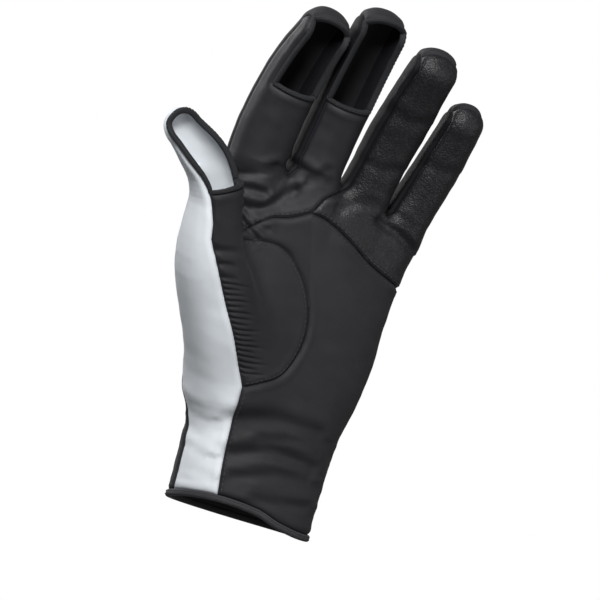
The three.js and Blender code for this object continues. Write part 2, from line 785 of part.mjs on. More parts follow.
// Folds on the palm side, each a groove along a straight line. Across is a share of the palm's
// breadth, up of its length, deep a share of the fold's depth.
const folds = [
  { fromAcross: -0.56, fromUp: 1.0, toAcross: -0.33, toUp: 1.09, deep: 0.9 },
  { fromAcross: -0.5, fromUp: 0.915, toAcross: -0.27, toUp: 1.01, deep: 1 },
  { fromAcross: -0.24, fromUp: 1.0, toAcross: -0.02, toUp: 1.06, deep: 0.8 },
  { fromAcross: 0.24, fromUp: 0.995, toAcross: 0.46, toUp: 0.935, deep: 1 },
  { fromAcross: -0.1, fromUp: 0.05, toAcross: 0.42, toUp: 0.1, deep: 0.8 },
  { fromAcross: -0.12, fromUp: 0.145, toAcross: 0.42, toUp: 0.215, deep: 0.9 },
  { fromAcross: -0.2, fromUp: 0.2, toAcross: 0.43, toUp: 0.3, deep: 1 },
  { fromAcross: -0.14, fromUp: 0.305, toAcross: 0.42, toUp: 0.375, deep: 0.7 },
];
function foldAt(point) {
  if (slopeAt(point).y > 0) return 0;
  let deepest = 0;
  for (const { fromAcross, fromUp, toAcross, toUp, deep } of folds) {
    const x = point.x - fromAcross * palmBreadth;
    const z = point.z - fromUp * palmLength;
    const dx = (toAcross - fromAcross) * palmBreadth;
    const dz = (toUp - fromUp) * palmLength;
    const along = clamp((x * dx + z * dz) / (dx * dx + dz * dz), 0, 1);
    const far = Math.hypot(x - along * dx, z - along * dz) / foldWidth;
    deepest = Math.max(deepest, deep * ease(1 - far));
  }
  return -foldDepth * deepest;
}

// Cloth: patches sewn edge to edge, drawn in a little at the seams, with a wall under the form.
const keyOf = (point) => `${point.x.toFixed(3)},${point.y.toFixed(3)},${point.z.toFixed(3)}`;
function sewCloth(name, material, patches, raise) {
  const points = [];
  const lifts = [];
  const known = new Map();
  const faces = [];
  const indexOf = (point) => {
    const key = keyOf(point);
    if (!known.has(key)) {
      known.set(key, points.length);
      points.push(point.clone());
      lifts.push(0);
    }
    return known.get(key);
  };
  patches.forEach((rows, patch) => {
    const grid = rows.map((row) => row.map(indexOf));
    if (raise && raise.patch === patch) {
      grid.forEach((row, j) => row.forEach((at, i) => {
        lifts[at] = raise.lift(i / (row.length - 1), j);
      }));
    }
    const triangles = [];
    for (let j = 0; j + 1 < grid.length; j += 1) {
      for (let i = 0; i + 1 < grid[j].length; i += 1) {
        const [a, b, c, d] = [grid[j][i], grid[j][i + 1], grid[j + 1][i + 1], grid[j + 1][i]];
        const shortAC = points[a].distanceTo(points[c]) <= points[b].distanceTo(points[d]);
        triangles.push(...(shortAC ? [[a, b, c], [a, c, d]] : [[a, b, d], [b, c, d]]));
      }
    }
    const kept = triangles.filter(([a, b, c]) => a !== b && b !== c && c !== a);
    let outward = 0;
    for (const [a, b, c] of kept) {
      const normal = new THREE.Vector3().crossVectors(
        points[b].clone().sub(points[a]), points[c].clone().sub(points[a]));
      outward += normal.dot(slopeAt(points[a]));
    }
    for (const [a, b, c] of kept) faces.push(outward > 0 ? [a, b, c] : [a, c, b]);
  });
  return wall(name, material, points, lifts, faces);
}

// Gives a sheet its thickness and closes its rim.
function wall(name, material, points, lifts, faces) {
  const normals = points.map((point) => slopeAt(point).normalize());
  points.forEach((point, i) => { lifts[i] += foldAt(point); });
  const edges = new Map();
  for (const [a, b, c] of faces) {
    for (const [from, to] of [[a, b], [b, c], [c, a]]) edges.set(`${from}_${to}`, [from, to]);
  }
  const rim = [...edges.values()].filter(([from, to]) => !edges.has(`${to}_${from}`));
  const before = new Map(rim.map(([from, to]) => [to, from]));
  const after = new Map(rim);
  const inset = new Map();
  for (const [at, next] of after) {
    const inward = (from, to) => new THREE.Vector3().crossVectors(
      normals[at], points[to].clone().sub(points[from])).normalize();
    const one = inward(before.get(at), at);
    const two = inward(at, next);
    const middle = one.clone().add(two);
    if (middle.length() < 0.2) middle.copy(points[next].clone().sub(points[at]));
    middle.normalize();
    inset.set(at, middle.multiplyScalar(seamGap / 2 / Math.max(middle.dot(one), 0.35)));
  }
  for (const [at, shift] of inset) points[at].add(shift);
  const count = points.length;
  const positions = new Float32Array(6 * count);
  points.forEach((point, i) => {
    point.clone().addScaledVector(normals[i], lifts[i]).toArray(positions, 3 * i);
    point.clone().addScaledVector(normals[i], lifts[i] - clothWall).toArray(positions, 3 * (count + i));
  });
  const triangles = [];
  for (const [a, b, c] of faces) triangles.push(a, b, c, a + count, c + count, b + count);
  for (const [from, to] of rim) {
    triangles.push(to, from, from + count, to, from + count, to + count);
  }
  const geometry = new THREE.BufferGeometry();
  geometry.setAttribute('position', new THREE.BufferAttribute(positions, 3));
  geometry.setIndex(triangles);
  geometry.computeVertexNormals();
  const mesh = new THREE.Mesh(geometry, material);
  mesh.name = name;
  return mesh;
}

const blackCloth = new THREE.MeshStandardMaterial({ color: 0x2f2f33, roughness: 0.62, metalness: 0 });
const stretchCloth = new THREE.MeshStandardMaterial({ color: 0x2b2b2f, roughness: 0.7, metalness: 0 });
const grainedCloth = new THREE.MeshStandardMaterial({ color: 0x303034, roughness: 0.6, metalness: 0 });
const greyCloth = new THREE.MeshStandardMaterial({ color: 0xbcc3c6, roughness: 0.75, metalness: 0 });
const bindingTape = new THREE.MeshStandardMaterial({ color: 0x26282d, roughness: 0.7, metalness: 0 });

const cuffLine = (from, to, count) => steps(count, (share, i) => {
  if (i === 0) return onCuff(from);
  if (i === count) return onCuff(to);
  return onCuff(mix(from, to, share));
});

function palmPanel() {
  const oval = thumbSeam.filter((_, i) => i % 2 === 0);
  const inner = seam([oval[ovalCorner], seamJoin], 4);
  const left = joined(wristSeam, oval.slice(0, ovalCorner + 1), inner);
  const top = lowSeam;
  const bottom = cuffLine(greyFrontTurn, ulnarTurn, top.length - 1);
  const right = seam(ulnarLow, left.length - 1);
  const tipEdge = oval.slice(ovalCorner);
  const corner = fill(
    inner, inner.map(() => thumbWebFront), tipEdge, seam(reversed(highSeam), tipEdge.length - 1));
  return sewCloth('palm_panel', blackCloth, [fill(bottom, top, left, right), corner]);
}

function thumbFrontPanel() {
  const low = ballTop.map(() => wristCorner);
  const ribStart = (ballPieces - 2 * shirrRibs) / 2;
  const ribs = {
    patch: 1,
    lift: (across, row) => {
      const rib = row - ribStart;
      if (rib < 0 || rib > 2 * shirrRibs || across === 0) return 0;
      return (row % 2 === 0 ? 1 : -1) * shirrHeight / 2 * ease(1.6 - 2.2 * across);
    },
  };
  return sewCloth(
    'thumb_front_panel', blackCloth,
    [[frontWebRow, ...frontBand], fill(low, ballTop, greySeam, thumbSeam)], ribs);
}

function sidePanel() {
  const bottom = cuffLine(greyFrontTurn, greyBackTurn, greyLowColumns);
  const left = joined(wristSeam, greySeam.filter((_, i) => i % 4 === 0));
  const right = seam(backSeamLow, left.length - 1);
  return sewCloth(
    'side_panel', greyCloth, [[greyWebRow, ...greyBand], fill(bottom, greyTop, left, right)]);
}

function backPanel() {
  const top = joined(...fingers.map((finger) => finger.backBase));
  const left = joined(backSeamLow, radialSeam);
  const right = seam(joined(ulnarLow, ulnarHigh), left.length - 1);
  const bottom = steps(top.length - 1, (share) => onCuff(mix(greyBackTurn, ulnarTurn - 360, share)));
  return sewCloth('back_panel', blackCloth, [
    fill(bottom, top, left, right), ...fingers.map((finger) => finger.back)]);
}

function indexMiddleFront() {
  const top = joined(index.frontBase, middle.frontBase);
  const saddleLine = reversed(thumbWeb);
  const bottom = joined(saddleLine, seam(highSeam, top.length - saddleLine.length));
  const right = seam(reversed(middleRingSeam), webSeamPieces);
  return sewCloth('index_middle_front', stretchCloth, [
    fill(bottom, top, radialSeam, right), index.front, middle.front, indexWing]);
}

function ringLittleFront() {
  const top = joined(ring.frontBase, little.frontBase);
  const bottom = seam(lowSeam, top.length - 1);
  const left = seam(reversed(middleRingSeam), webSeamPieces);
  return sewCloth('ring_little_front', grainedCloth, [
    fill(bottom, top, left, ulnarHigh), ring.front, little.front]);
}

function gusset(name, left, right, web) {
  const down = left.rows.frontRight.map((row, j) => (
    sideRow(left.digit, row, left.rows.backRight[j], webPoints)));
  const up = right.rows.frontLeft.map((row, j) => (
    sideRow(right.digit, row, right.rows.backLeft[j], webPoints)));
  return sewCloth(name, blackCloth, [[...reversed(down), web, ...up]]);
}

// A rounded tape round a closed line of points, lying beside the cloth's edge on the side where
// the opening is.
function binding({ name, line, width, step, opening }) {
  const last = line.length - 1;
  const turns = line.map((point, i) => {
    const before = line[i === 0 ? last : i - 1];
    const next = line[i === last ? 0 : i + 1];
    const came = point.clone().sub(before).normalize();
    const goes = next.clone().sub(point).normalize();
    const out = slopeAt(point).normalize();
    const one = new THREE.Vector3().crossVectors(out, came).normalize();
    const two = new THREE.Vector3().crossVectors(out, goes).normalize();
    return { point, one, bisector: one.clone().add(two).normalize(), corner: came.dot(goes) };
  });
  const facing = turns.reduce((sum, { point, bisector }) => (
    sum + bisector.dot(opening.clone().sub(point))), 0);
  const path = turns.filter(({ corner }) => corner > cornerCosine)
    .map(({ point, one, bisector }) => point.clone().addScaledVector(
      bisector, Math.sign(facing) * (seamGap + width / 2) / bisector.dot(one)));
  const curve = new THREE.CatmullRomCurve3(path, true, 'centripetal');
  const rounds = Math.round(curve.getLength() / step);
  const rings = steps(rounds, (share) => curve.getPointAt(share)).slice(0, rounds);
  const positions = [];
  const triangles = [];
  rings.forEach((middle, i) => {
    const before = rings[(i + rounds - 1) % rounds];
    const next = rings[(i + 1) % rounds];
    const out = slopeAt(middle).normalize();
    const across = new THREE.Vector3().crossVectors(out, next.clone().sub(before)).normalize();
    const centre = middle.clone().addScaledVector(out, -clothWall / 2);
    for (let k = 0; k < bindingSides; k += 1) {
      const { u, v } = ringOffset((k + 0.5) * 360 / bindingSides, bindingSquareness);
      centre.clone()
        .addScaledVector(across, u * width / 2)
        .addScaledVector(out, v * (clothWall / 2 + bindingProud))
        .toArray(positions, 3 * (i * bindingSides + k));
      const [a, b] = [i * bindingSides + k, i * bindingSides + (k + 1) % bindingSides];
      const [c, d] = [a, b].map((at) => (at + bindingSides) % (rounds * bindingSides));
      triangles.push(a, b, d, a, d, c);
    }
  });
  const geometry = new THREE.BufferGeometry();
  geometry.setAttribute('position', new THREE.Float32BufferAttribute(positions, 3));
  geometry.setIndex(volume(positions, triangles) > 0 ? triangles : reversed(triangles));
  geometry.computeVertexNormals();
  const mesh = new THREE.Mesh(geometry, bindingTape);
  mesh.name = name;
  return mesh;
}
function volume(positions, triangles) {
  let sum = 0;
  for (let i = 0; i < triangles.length; i += 3) {
    const [a, b, c] = [0, 1, 2].map((k) => (
      new THREE.Vector3().fromArray(positions, 3 * triangles[i + k])));
    sum += a.dot(b.cross(c)) / 6;
  }
  return sum;
}

// The points of one seam of a finger, from where its opening begins
const openEdge = (finger, seamRows) => seamRows.slice(finger.openRow).map((row) => (
  sideRow(finger.digit, row, row, 1)[0]));
function fingerBinding(name, finger, lowEdge, leftEdge) {
  const right = openEdge(finger, finger.rows.frontRight);
  const lip = finger.back[finger.back.length - 1];
  return binding({
    name,
    line: joined(lowEdge, right, reversed(lip), reversed(leftEdge)).slice(1),
    width: bindingWidth,
    step: bindingStep,
    opening: onDigit(finger.digit, 0, mix(finger.open, 1, openingMiddle)),
  });
}
function thumbBinding() {
  const open = greyBand.slice(thumbOpenRow);
  const right = open.map((row) => row[greyColumns]);
  const left = open.map((row) => row[0]);
  const lip = open[open.length - 1];
  return binding({
    name: 'thumb_binding',
    line: joined(frontBand[thumbOpenRow], right, reversed(lip), reversed(left)).slice(1),
    width: bindingWidth,
    step: bindingStep,
    opening: onDigit(thumb, thumbPadTurn, mix(thumbOpen, 1, openingMiddle)),
  });
}
function cuffBinding() {
  return binding({
    name: 'cuff_binding',
    line: steps(cuffPoints, (share) => onCuff(ulnarTurn - 360 * share)).slice(1),
    width: cuffBindingHeight,
    step: cuffBindingStep,
    opening: new THREE.Vector3(0, 0, -3 * palmLength),
  });
}

const indexLowEdge = index.front[index.openRow + 1].slice(wingColumns);
const indexLeftEdge = indexWing.map((row) => row[wingColumns]);
const middleLowEdge = middle.front[middle.openRow + 1];
const middleLeftEdge = openEdge(middle, middle.rows.frontLeft);

const glove = new THREE.Group();
glove.add(
  palmPanel(),
  thumbFrontPanel(),
  sidePanel(),
  backPanel(),
  indexMiddleFront(),
  ringLittleFront(),
  gusset('index_middle_gusset', index, middle, webs[0]),
  gusset('middle_ring_gusset', middle, ring, webs[1]),
  gusset('ring_little_gusset', ring, little, webs[2]),
  thumbBinding(),
  fingerBinding('index_binding', index, indexLowEdge, indexLeftEdge),
  fingerBinding('middle_binding', middle, middleLowEdge, middleLeftEdge),
  cuffBinding(),
);
export default glove;
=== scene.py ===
"""A left fishing glove in its worn form, with open thumb, index and middle fingertips.

Lengths are in millimetres until a mesh is made, in the same frame as the solids: +Z from the
wrist to the fingers, -Y out of the palm side, +X to the little finger side. Turns are in degrees:
0 faces the palm side, 90 the little finger side, 180 the back.
"""
import math

import bpy
import numpy as np
from mathutils import Matrix, Vector


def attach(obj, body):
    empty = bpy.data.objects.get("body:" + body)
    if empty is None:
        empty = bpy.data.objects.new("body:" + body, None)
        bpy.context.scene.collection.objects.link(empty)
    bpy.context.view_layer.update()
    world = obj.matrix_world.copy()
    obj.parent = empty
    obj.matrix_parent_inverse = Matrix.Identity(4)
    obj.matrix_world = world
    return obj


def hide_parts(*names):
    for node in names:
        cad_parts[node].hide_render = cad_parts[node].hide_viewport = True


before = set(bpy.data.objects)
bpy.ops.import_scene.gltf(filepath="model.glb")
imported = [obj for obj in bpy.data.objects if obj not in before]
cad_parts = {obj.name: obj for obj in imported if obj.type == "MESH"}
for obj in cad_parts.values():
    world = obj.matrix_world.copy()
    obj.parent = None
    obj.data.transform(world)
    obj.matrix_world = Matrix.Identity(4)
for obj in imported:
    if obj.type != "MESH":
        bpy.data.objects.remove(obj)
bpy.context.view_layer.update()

# Sizes of the glove
CLOTH_WALL = 2.0
WRIST_BREADTH, WRIST_DEPTH = 66.0, 44.0
PALM_LENGTH, PALM_DEPTH = 139.0, 36.0
WEB_FALL, PALM_CROWN, FINGER_GAP = 9.0, 7.0, 1.3
PALM_SHARE, ROW_START, KNUCKLE_FRONT = 0.905, -0.535, 0.12
INDEX_BREADTH, INDEX_LENGTH = 26.0, 72.0
MIDDLE_BREADTH, MIDDLE_LENGTH = 23.6, 81.0
RING_BREADTH, RING_LENGTH = 22.0, 75.0
LITTLE_BREADTH, LITTLE_LENGTH = 20.0, 55.0
THUMB_BREADTH, THUMB_LENGTH = 30.0, 121.0
TIP_LENGTH = 11.0
INDEX_OPEN, MIDDLE_OPEN, THUMB_OPEN = 0.6, 0.56, 0.76
TAPE_WIDTH, TAPE_PROUD = 1.8, 0.35
CUFF_TAPE, CUFF_WAVE = 3.0, 4.0
SEAM_INSET = 0.05
PALM_POWER, FINGER_POWER, TAPE_POWER = 2.3, 2.25, 3.2
FINE = 5
CENTRE_PIECES = 34

FINGER_ROW = INDEX_BREADTH + MIDDLE_BREADTH + RING_BREADTH + LITTLE_BREADTH + 3 * FINGER_GAP
PALM_BREADTH = PALM_SHARE * FINGER_ROW


# The form that the cloth lies on

def mix(a, b, share):
    """The value that lies a share of the way from one to the other."""
    return a + (b - a) * share


def ease(share):
    """A smooth step from 0 to 1: three times the square less twice the cube."""
    t = np.clip(share, 0.0, 1.0)
    return t * t * (3 - 2 * t)


def smooth(rows, at):
    """Columns of a table at any place: cubic pieces that pass through the rows, each row's slope
    being that between its two neighbours."""
    rows = np.asarray(rows, float)
    key, values = rows[:, 0], rows[:, 1:]
    order = np.arange(len(key))
    low, high = np.maximum(order - 1, 0), np.minimum(order + 1, len(key) - 1)
    slopes = (values[high] - values[low]) / (key[high] - key[low])[:, None]
    place = np.clip(at, key[0], key[-1])
    i = np.clip(np.searchsorted(key, place) - 1, 0, len(key) - 2)
    span = (key[i + 1] - key[i])[..., None]
    t = (place - key[i])[..., None] / span
    return (values[i] * (1 - t) ** 2 * (1 + 2 * t) + values[i + 1] * t * t * (3 - 2 * t)
            + span * (slopes[i] * t * (1 - t) ** 2 - slopes[i + 1] * t * t * (1 - t)))


# Sections of the wrist and palm: share of the palm's length, then centre across and to the
# front, half breadth and half depth, which the rows below give as shares of two sizes
PALM = [(up, across * breadth, -front * depth, wide * breadth / 2, deep * depth / 2)
        for up, breadth, depth, across, front, wide, deep in (
            (-0.05, WRIST_BREADTH, WRIST_DEPTH, -0.02, 0.0, 1.0, 1.0),
            (0.12, WRIST_BREADTH, WRIST_DEPTH, -0.02, 0.0, 0.99, 0.99),
            (0.28, WRIST_BREADTH, WRIST_DEPTH, -0.015, 0.0, 1.02, 0.96),
            (0.42, PALM_BREADTH, PALM_DEPTH, 0.0, 0.02, 0.85, 1.1),
            (0.6, PALM_BREADTH, PALM_DEPTH, -0.01, 0.05, 0.94, 1.03),
            (0.78, PALM_BREADTH, PALM_DEPTH, -0.03, 0.08, 0.94, 0.92),
            (0.9, PALM_BREADTH, PALM_DEPTH, -0.03, 0.1, 0.95, 0.78),
            (1.0, PALM_BREADTH, PALM_DEPTH, -0.01, 0.12, 0.98, 0.62))]


def power_length(u, v, w, power):
    """Length of a step measured with a power other than two, which squares off a round section."""
    return (np.abs(u) ** power + np.abs(v) ** power + np.abs(w) ** power) ** (1 / power)


def palm_distance(p):
    """Distance outside the wrist and palm along the ray from the middle of the section."""
    reach = PALM_LENGTH - WEB_FALL * p[:, 0] / PALM_BREADTH
    x, y, wide, deep = smooth(PALM, p[:, 2] / reach).T
    u, v, beyond = p[:, 0] - x, p[:, 1] - y, np.maximum(p[:, 2] - reach, 0)
    ratio = np.maximum(power_length(u / wide, v / deep, beyond / PALM_CROWN, PALM_POWER), 1e-6)
    return np.sqrt(u * u + v * v + beyond * beyond) * (1 - 1 / ratio)


def heading(rows, along):
    """Direction of a digit's centreline from how far it leans sideways and curls to the palm."""
    lean, curl = np.radians(smooth(rows, along)[..., :2]).T
    return np.stack([np.sin(lean) * np.cos(curl), -np.sin(curl), np.cos(lean) * np.cos(curl)], -1)


class Digit:
    """A tube along a bent centreline. Rows of its table: share of the length from the web to the
    tip, lean, curl, and breadth and depth as shares of the digit's breadth."""

    def __init__(self, base, length, breadth, root, soften, rows):
        self.share = (1 - root) / CENTRE_PIECES
        before = int(round(-root / self.share))
        self.first = -before * self.share
        self.soften = soften
        self.along = self.first + np.arange(CENTRE_PIECES + 1) * self.share
        moves = heading(rows, self.along[1:] - self.share / 2) * self.share * length
        place = np.vstack([np.zeros(3), np.cumsum(moves, 0)])
        self.place = place - place[before] + np.asarray(base, float)
        self.ahead = heading(rows, self.along)
        palm = np.array([0.0, -1.0, 0.0]) - self.ahead * -self.ahead[:, 1:2]
        self.palmward = palm / np.linalg.norm(palm, axis=1)[:, None]
        self.across = np.cross(self.ahead, self.palmward)
        self.half = smooth(rows, self.along)[:, 2:] * breadth / 2
        self.table = np.hstack([self.along[:, None], self.place, self.ahead, self.palmward,
                                self.across, self.half])

    def nearest(self, p):
        """Place of the nearest point on the centreline, counted in its pieces."""
        a = self.place[:-1]
        d = self.place[1:] - a
        dd = (d * d).sum(1)
        along = p @ d.T - (a * d).sum(1)
        t = np.clip(along / dd, 0, 1)
        far = -2 * (p @ a.T) + (a * a).sum(1) - 2 * t * along + t * t * dd
        i = far.argmin(1)
        return i + t[np.arange(len(p)), i]

    def station(self, at):
        """The section there: share of the length, middle, three directions, half width, half
        depth."""
        i = np.clip(np.floor(at).astype(int), 0, CENTRE_PIECES - 1)
        t = (at - i)[..., None]
        row = self.table[i] * (1 - t) + self.table[i + 1] * t
        return (row[..., 0], row[..., 1:4], row[..., 4:7], row[..., 7:10], row[..., 10:13],
                row[..., 13], row[..., 14])

    def distance(self, p):
        """Distance outside the tube along the ray from its centreline, with a rounded end."""
        _, place, ahead, palmward, across, wide, deep = self.station(self.nearest(p))
        off = p - place
        ratio = power_length((off * across).sum(1) / wide, (off * palmward).sum(1) / deep,
                             (off * ahead).sum(1) / TIP_LENGTH, FINGER_POWER)
        return np.linalg.norm(off, axis=1) * (1 - 1 / np.maximum(ratio, 1e-6))

    def chart(self, point):
        """Turn and share of the length at which a point lies."""
        p = np.asarray(point, float)[None]
        along, place, _, palmward, across, wide, deep = self.station(self.nearest(p))
        off = p - place
        turn = math.degrees(math.atan2((off * across).sum() / wide[0],
                                       (off * palmward).sum() / deep[0]))
        return turn, along[0]


def knuckle(x):
    """A finger's foot: in front of the middle of the palm, lower towards the little finger."""
    return (x, -KNUCKLE_FRONT * PALM_DEPTH, PALM_LENGTH - WEB_FALL * x / PALM_BREADTH)


FIRST_X = ROW_START * FINGER_ROW
MIDDLE_X = FIRST_X + INDEX_BREADTH + FINGER_GAP + MIDDLE_BREADTH / 2
RING_X = MIDDLE_X + MIDDLE_BREADTH / 2 + FINGER_GAP + RING_BREADTH / 2
LITTLE_X = RING_X + RING_BREADTH / 2 + FINGER_GAP + LITTLE_BREADTH / 2
INDEX = Digit(knuckle(FIRST_X + INDEX_BREADTH / 2), INDEX_LENGTH, INDEX_BREADTH, -0.4, 9, [
    (-0.4, -2, 2, 0.98, 0.92), (0, -1, 9, 0.99, 0.98), (0.35, 4, 15, 0.99, 1.0),
    (0.7, 8, 24, 0.96, 0.96), (1, 11, 35, 0.86, 0.88)])
MIDDLE = Digit(knuckle(MIDDLE_X), MIDDLE_LENGTH, MIDDLE_BREADTH, -0.4, 9, [
    (-0.4, 2, 2, 0.98, 0.98), (0, 3, 9, 0.98, 1.02), (0.35, 4, 15, 0.99, 1.03),
    (0.7, 2, 24, 0.99, 1.0), (1, 0, 34, 0.97, 0.94)])
RING = Digit(knuckle(RING_X), RING_LENGTH, RING_BREADTH, -0.45, 9, [
    (-0.45, 8, 3, 0.98, 1.0), (0, 10, 11, 0.99, 1.04), (0.35, 7, 18, 1.0, 1.05),
    (0.7, 5, 27, 1.0, 1.02), (1, 4, 36, 0.94, 0.94)])
LITTLE = Digit(knuckle(LITTLE_X), LITTLE_LENGTH, LITTLE_BREADTH, -0.6, 9, [
    (-0.6, 8, 3, 1.0, 1.05), (0, 13, 10, 1.0, 1.08), (0.35, 12, 16, 0.98, 1.04),
    (0.7, 8, 22, 0.94, 0.98), (1, 4, 28, 0.88, 0.9)])
THUMB = Digit((-0.28 * PALM_BREADTH, -0.17 * PALM_DEPTH, 0.4 * PALM_LENGTH), THUMB_LENGTH,
              THUMB_BREADTH, 0, 14, [
    (0, -22, 18, 1.16, 1.08), (0.22, -34, 19, 1.16, 1.12), (0.42, -34, 17, 1.05, 1.04),
    (0.56, -18, 14, 0.94, 0.93), (0.7, -12, 10, 0.77, 0.79), (0.79, -32, 7, 0.74, 0.74),
    (0.89, -52, 5, 0.7, 0.66), (1, -56, 4, 0.56, 0.5)])


def blend(one, other, soften):
    """The nearer of two distances, less a quarter of the square of how nearly alike they are."""
    overlap = np.maximum(soften - np.abs(one - other), 0) / soften
    return np.minimum(one, other) - overlap * overlap * soften / 4


def form(p):
    """Distance outside the whole glove: each finger runs into the palm and the thumb into all."""
    palm = palm_distance(p)
    near = palm
    for digit in (INDEX, MIDDLE, RING, LITTLE):
        near = np.minimum(near, blend(palm, digit.distance(p), digit.soften))
    return blend(near, THUMB.distance(p), THUMB.soften)


def slope(p, probe=0.05):
    """Gradient of the distance, from a small step to both sides along each axis."""
    return np.stack([(form(p + step) - form(p - step)) / (2 * probe)
                     for step in np.eye(3) * probe], 1)


def settle(p, rounds=4):
    """Points moved straight onto the form, along its steepest direction, in Newton steps."""
    shape = np.shape(p)
    p = np.array(p, float).reshape(-1, 3)
    for _ in range(rounds):
        g = slope(p)
        p -= g * (form(p) / np.maximum((g * g).sum(1), 0.2))[:, None]
    return p.reshape(shape)


def unit(v):
    """Each vector divided by its length."""
    return v / np.maximum(np.linalg.norm(v, axis=-1, keepdims=True), 1e-9)


# Places on the form

def ring_offset(turn, power):
    """Place on a squared-off unit ring: sine and cosine over their power length."""
    u, v = np.sin(np.radians(turn)), np.cos(np.radians(turn))
    length = power_length(u, v, 0, power)
    return u / length, v / length


def on_digit(digit, turn, along):
    """Points round a digit at given turns and shares of its length."""
    turn, along = np.broadcast_arrays(np.asarray(turn, float), np.asarray(along, float))
    _, place, _, palmward, across, wide, deep = digit.station((along - digit.first) / digit.share)
    u, v = ring_offset(turn, FINGER_POWER)
    return settle(place + across * (u * wide)[..., None] + palmward * (v * deep)[..., None])


def tip_direction(side, over):
    """Direction out of a tip: side from its middle, over from the palm side across the end."""
    side, over = np.radians(np.broadcast_arrays(np.asarray(side, float), np.asarray(over, float)))
    return np.stack([np.sin(side), np.cos(side) * np.cos(over), np.cos(side) * np.sin(over)], -1)


def on_tip(digit, towards):
    """Points on a rounded tip in given directions from the end of the centreline."""
    length = power_length(towards[..., 0], towards[..., 1], towards[..., 2], FINGER_POWER)
    x, y, z = np.moveaxis(towards / length[..., None], -1, 0)[..., None]
    _, place, ahead, palmward, across, wide, deep = digit.station(np.array(float(CENTRE_PIECES)))
    return settle(place + across * x * wide + palmward * y * deep + ahead * z * TIP_LENGTH)


def on_palm(turn, z):
    """Points round the wrist and palm at given turns and heights."""
    turn, z = np.broadcast_arrays(np.asarray(turn, float), np.asarray(z, float))
    x, y, wide, deep = np.moveaxis(smooth(PALM, z / PALM_LENGTH), -1, 0)
    u, v = ring_offset(turn, PALM_POWER)
    return settle(np.stack([x + u * wide, y - v * deep, z], -1))


PACES, HALVINGS = 90, 30


def meet(place_at, start, end):
    """First points met on the way from the open to the inside: even paces, then halvings."""
    paces = np.linspace(start, end, PACES + 1)
    inside = np.stack([form(place_at(np.full(place_at.count, at))) < 0 for at in paces], 1)
    first = np.maximum(inside.argmax(1), 1)
    shut, far = paces[first], paces[first - 1]
    for _ in range(HALVINGS):
        middle = (far + shut) / 2
        hit = form(place_at(middle)) < 0
        shut, far = np.where(hit, middle, shut), np.where(hit, far, middle)
    return place_at((far + shut) / 2)


def on_front(*places):
    """Points seen from the palm side, given as shares of the palm's breadth and length."""
    across, up = np.array(places, float).T

    def place_at(y):
        """The places at depths y."""
        return np.stack([across * PALM_BREADTH, y, up * PALM_LENGTH], 1)
    place_at.count = len(across)
    return meet(place_at, -3 * PALM_DEPTH, PALM_DEPTH)


def saddle(left, right, front, back, pieces, high):
    """The line of lowest points between two digits, from the palm side to the back."""
    palmward = np.linspace(front, -back, pieces + 1)

    def at_height(digit, z):
        """Middle and half width of a digit where its centreline reaches a height."""
        heights = digit.place[:, 2]
        i = np.clip(np.searchsorted(heights, z) - 1, 0, CENTRE_PIECES - 1)
        t = (z - heights[i]) / (heights[i + 1] - heights[i])
        row = digit.table[i] * (1 - t[:, None]) + digit.table[i + 1] * t[:, None]
        return row[:, 1:4], row[:, 13]

    def place_at(z):
        """Places halfway between the two tubes at heights z, turned towards the palm side."""
        a, a_wide = at_height(left, z)
        b, b_wide = at_height(right, z)
        dx, dy = b[:, 0] - a[:, 0], b[:, 1] - a[:, 1]
        far = np.hypot(dx, dy)
        half = (far + a_wide - b_wide) / 2
        return np.stack([a[:, 0] + (dx * half + dy * palmward) / far,
                         a[:, 1] + (dy * half - dx * palmward) / far, z], 1)
    place_at.count = pieces + 1
    return meet(place_at, high, 0.5 * PALM_LENGTH)


# Lines and patches of points

SPLINE_POINTS = 24


def curve(places, pieces, closed=False):
    """Evenly spaced points on a centripetal spline through the places."""
    p = np.asarray(places, float)
    if closed:
        p = np.vstack([p[-1], p, p[0], p[1]])
    else:
        p = np.vstack([2 * p[0] - p[1], p, 2 * p[-1] - p[-2]])
    gaps = np.maximum(np.linalg.norm(np.diff(p, axis=0), axis=1) ** 0.5, 1e-4)[:, None]
    a, b, c, d = p[:-3], p[1:-2], p[2:-1], p[3:]
    g0, g1, g2 = gaps[:-2], gaps[1:-1], gaps[2:]
    one = ((b - a) / g0 - (c - a) / (g0 + g1) + (c - b) / g1) * g1
    two = ((c - b) / g1 - (d - b) / (g1 + g2) + (d - c) / g2) * g1
    t = np.linspace(0, 1, SPLINE_POINTS + 1)[:-1, None, None]
    dense = (b + one * t + (3 * (c - b) - 2 * one - two) * t ** 2
             + (2 * (b - c) + one + two) * t ** 3)
    dense = np.vstack([dense.transpose(1, 0, 2).reshape(-1, 3), c[-1:]])
    length = np.concatenate([[0], np.cumsum(np.linalg.norm(np.diff(dense, axis=0), axis=1))])
    at = np.linspace(0, length[-1], pieces + 1)
    return np.stack([np.interp(at, length, dense[:, k]) for k in range(3)], 1)


def seam(places, pieces):
    """A line on the form through the places, keeping both ends."""
    line = settle(curve(places, pieces))
    line[0], line[-1] = places[0], places[-1]
    return line


def joined(*lines):
    """Lines end to end, each shared end kept once."""
    return np.vstack([lines[0][:1]] + [line[1:] for line in lines])


RELAX_STEPS = 8


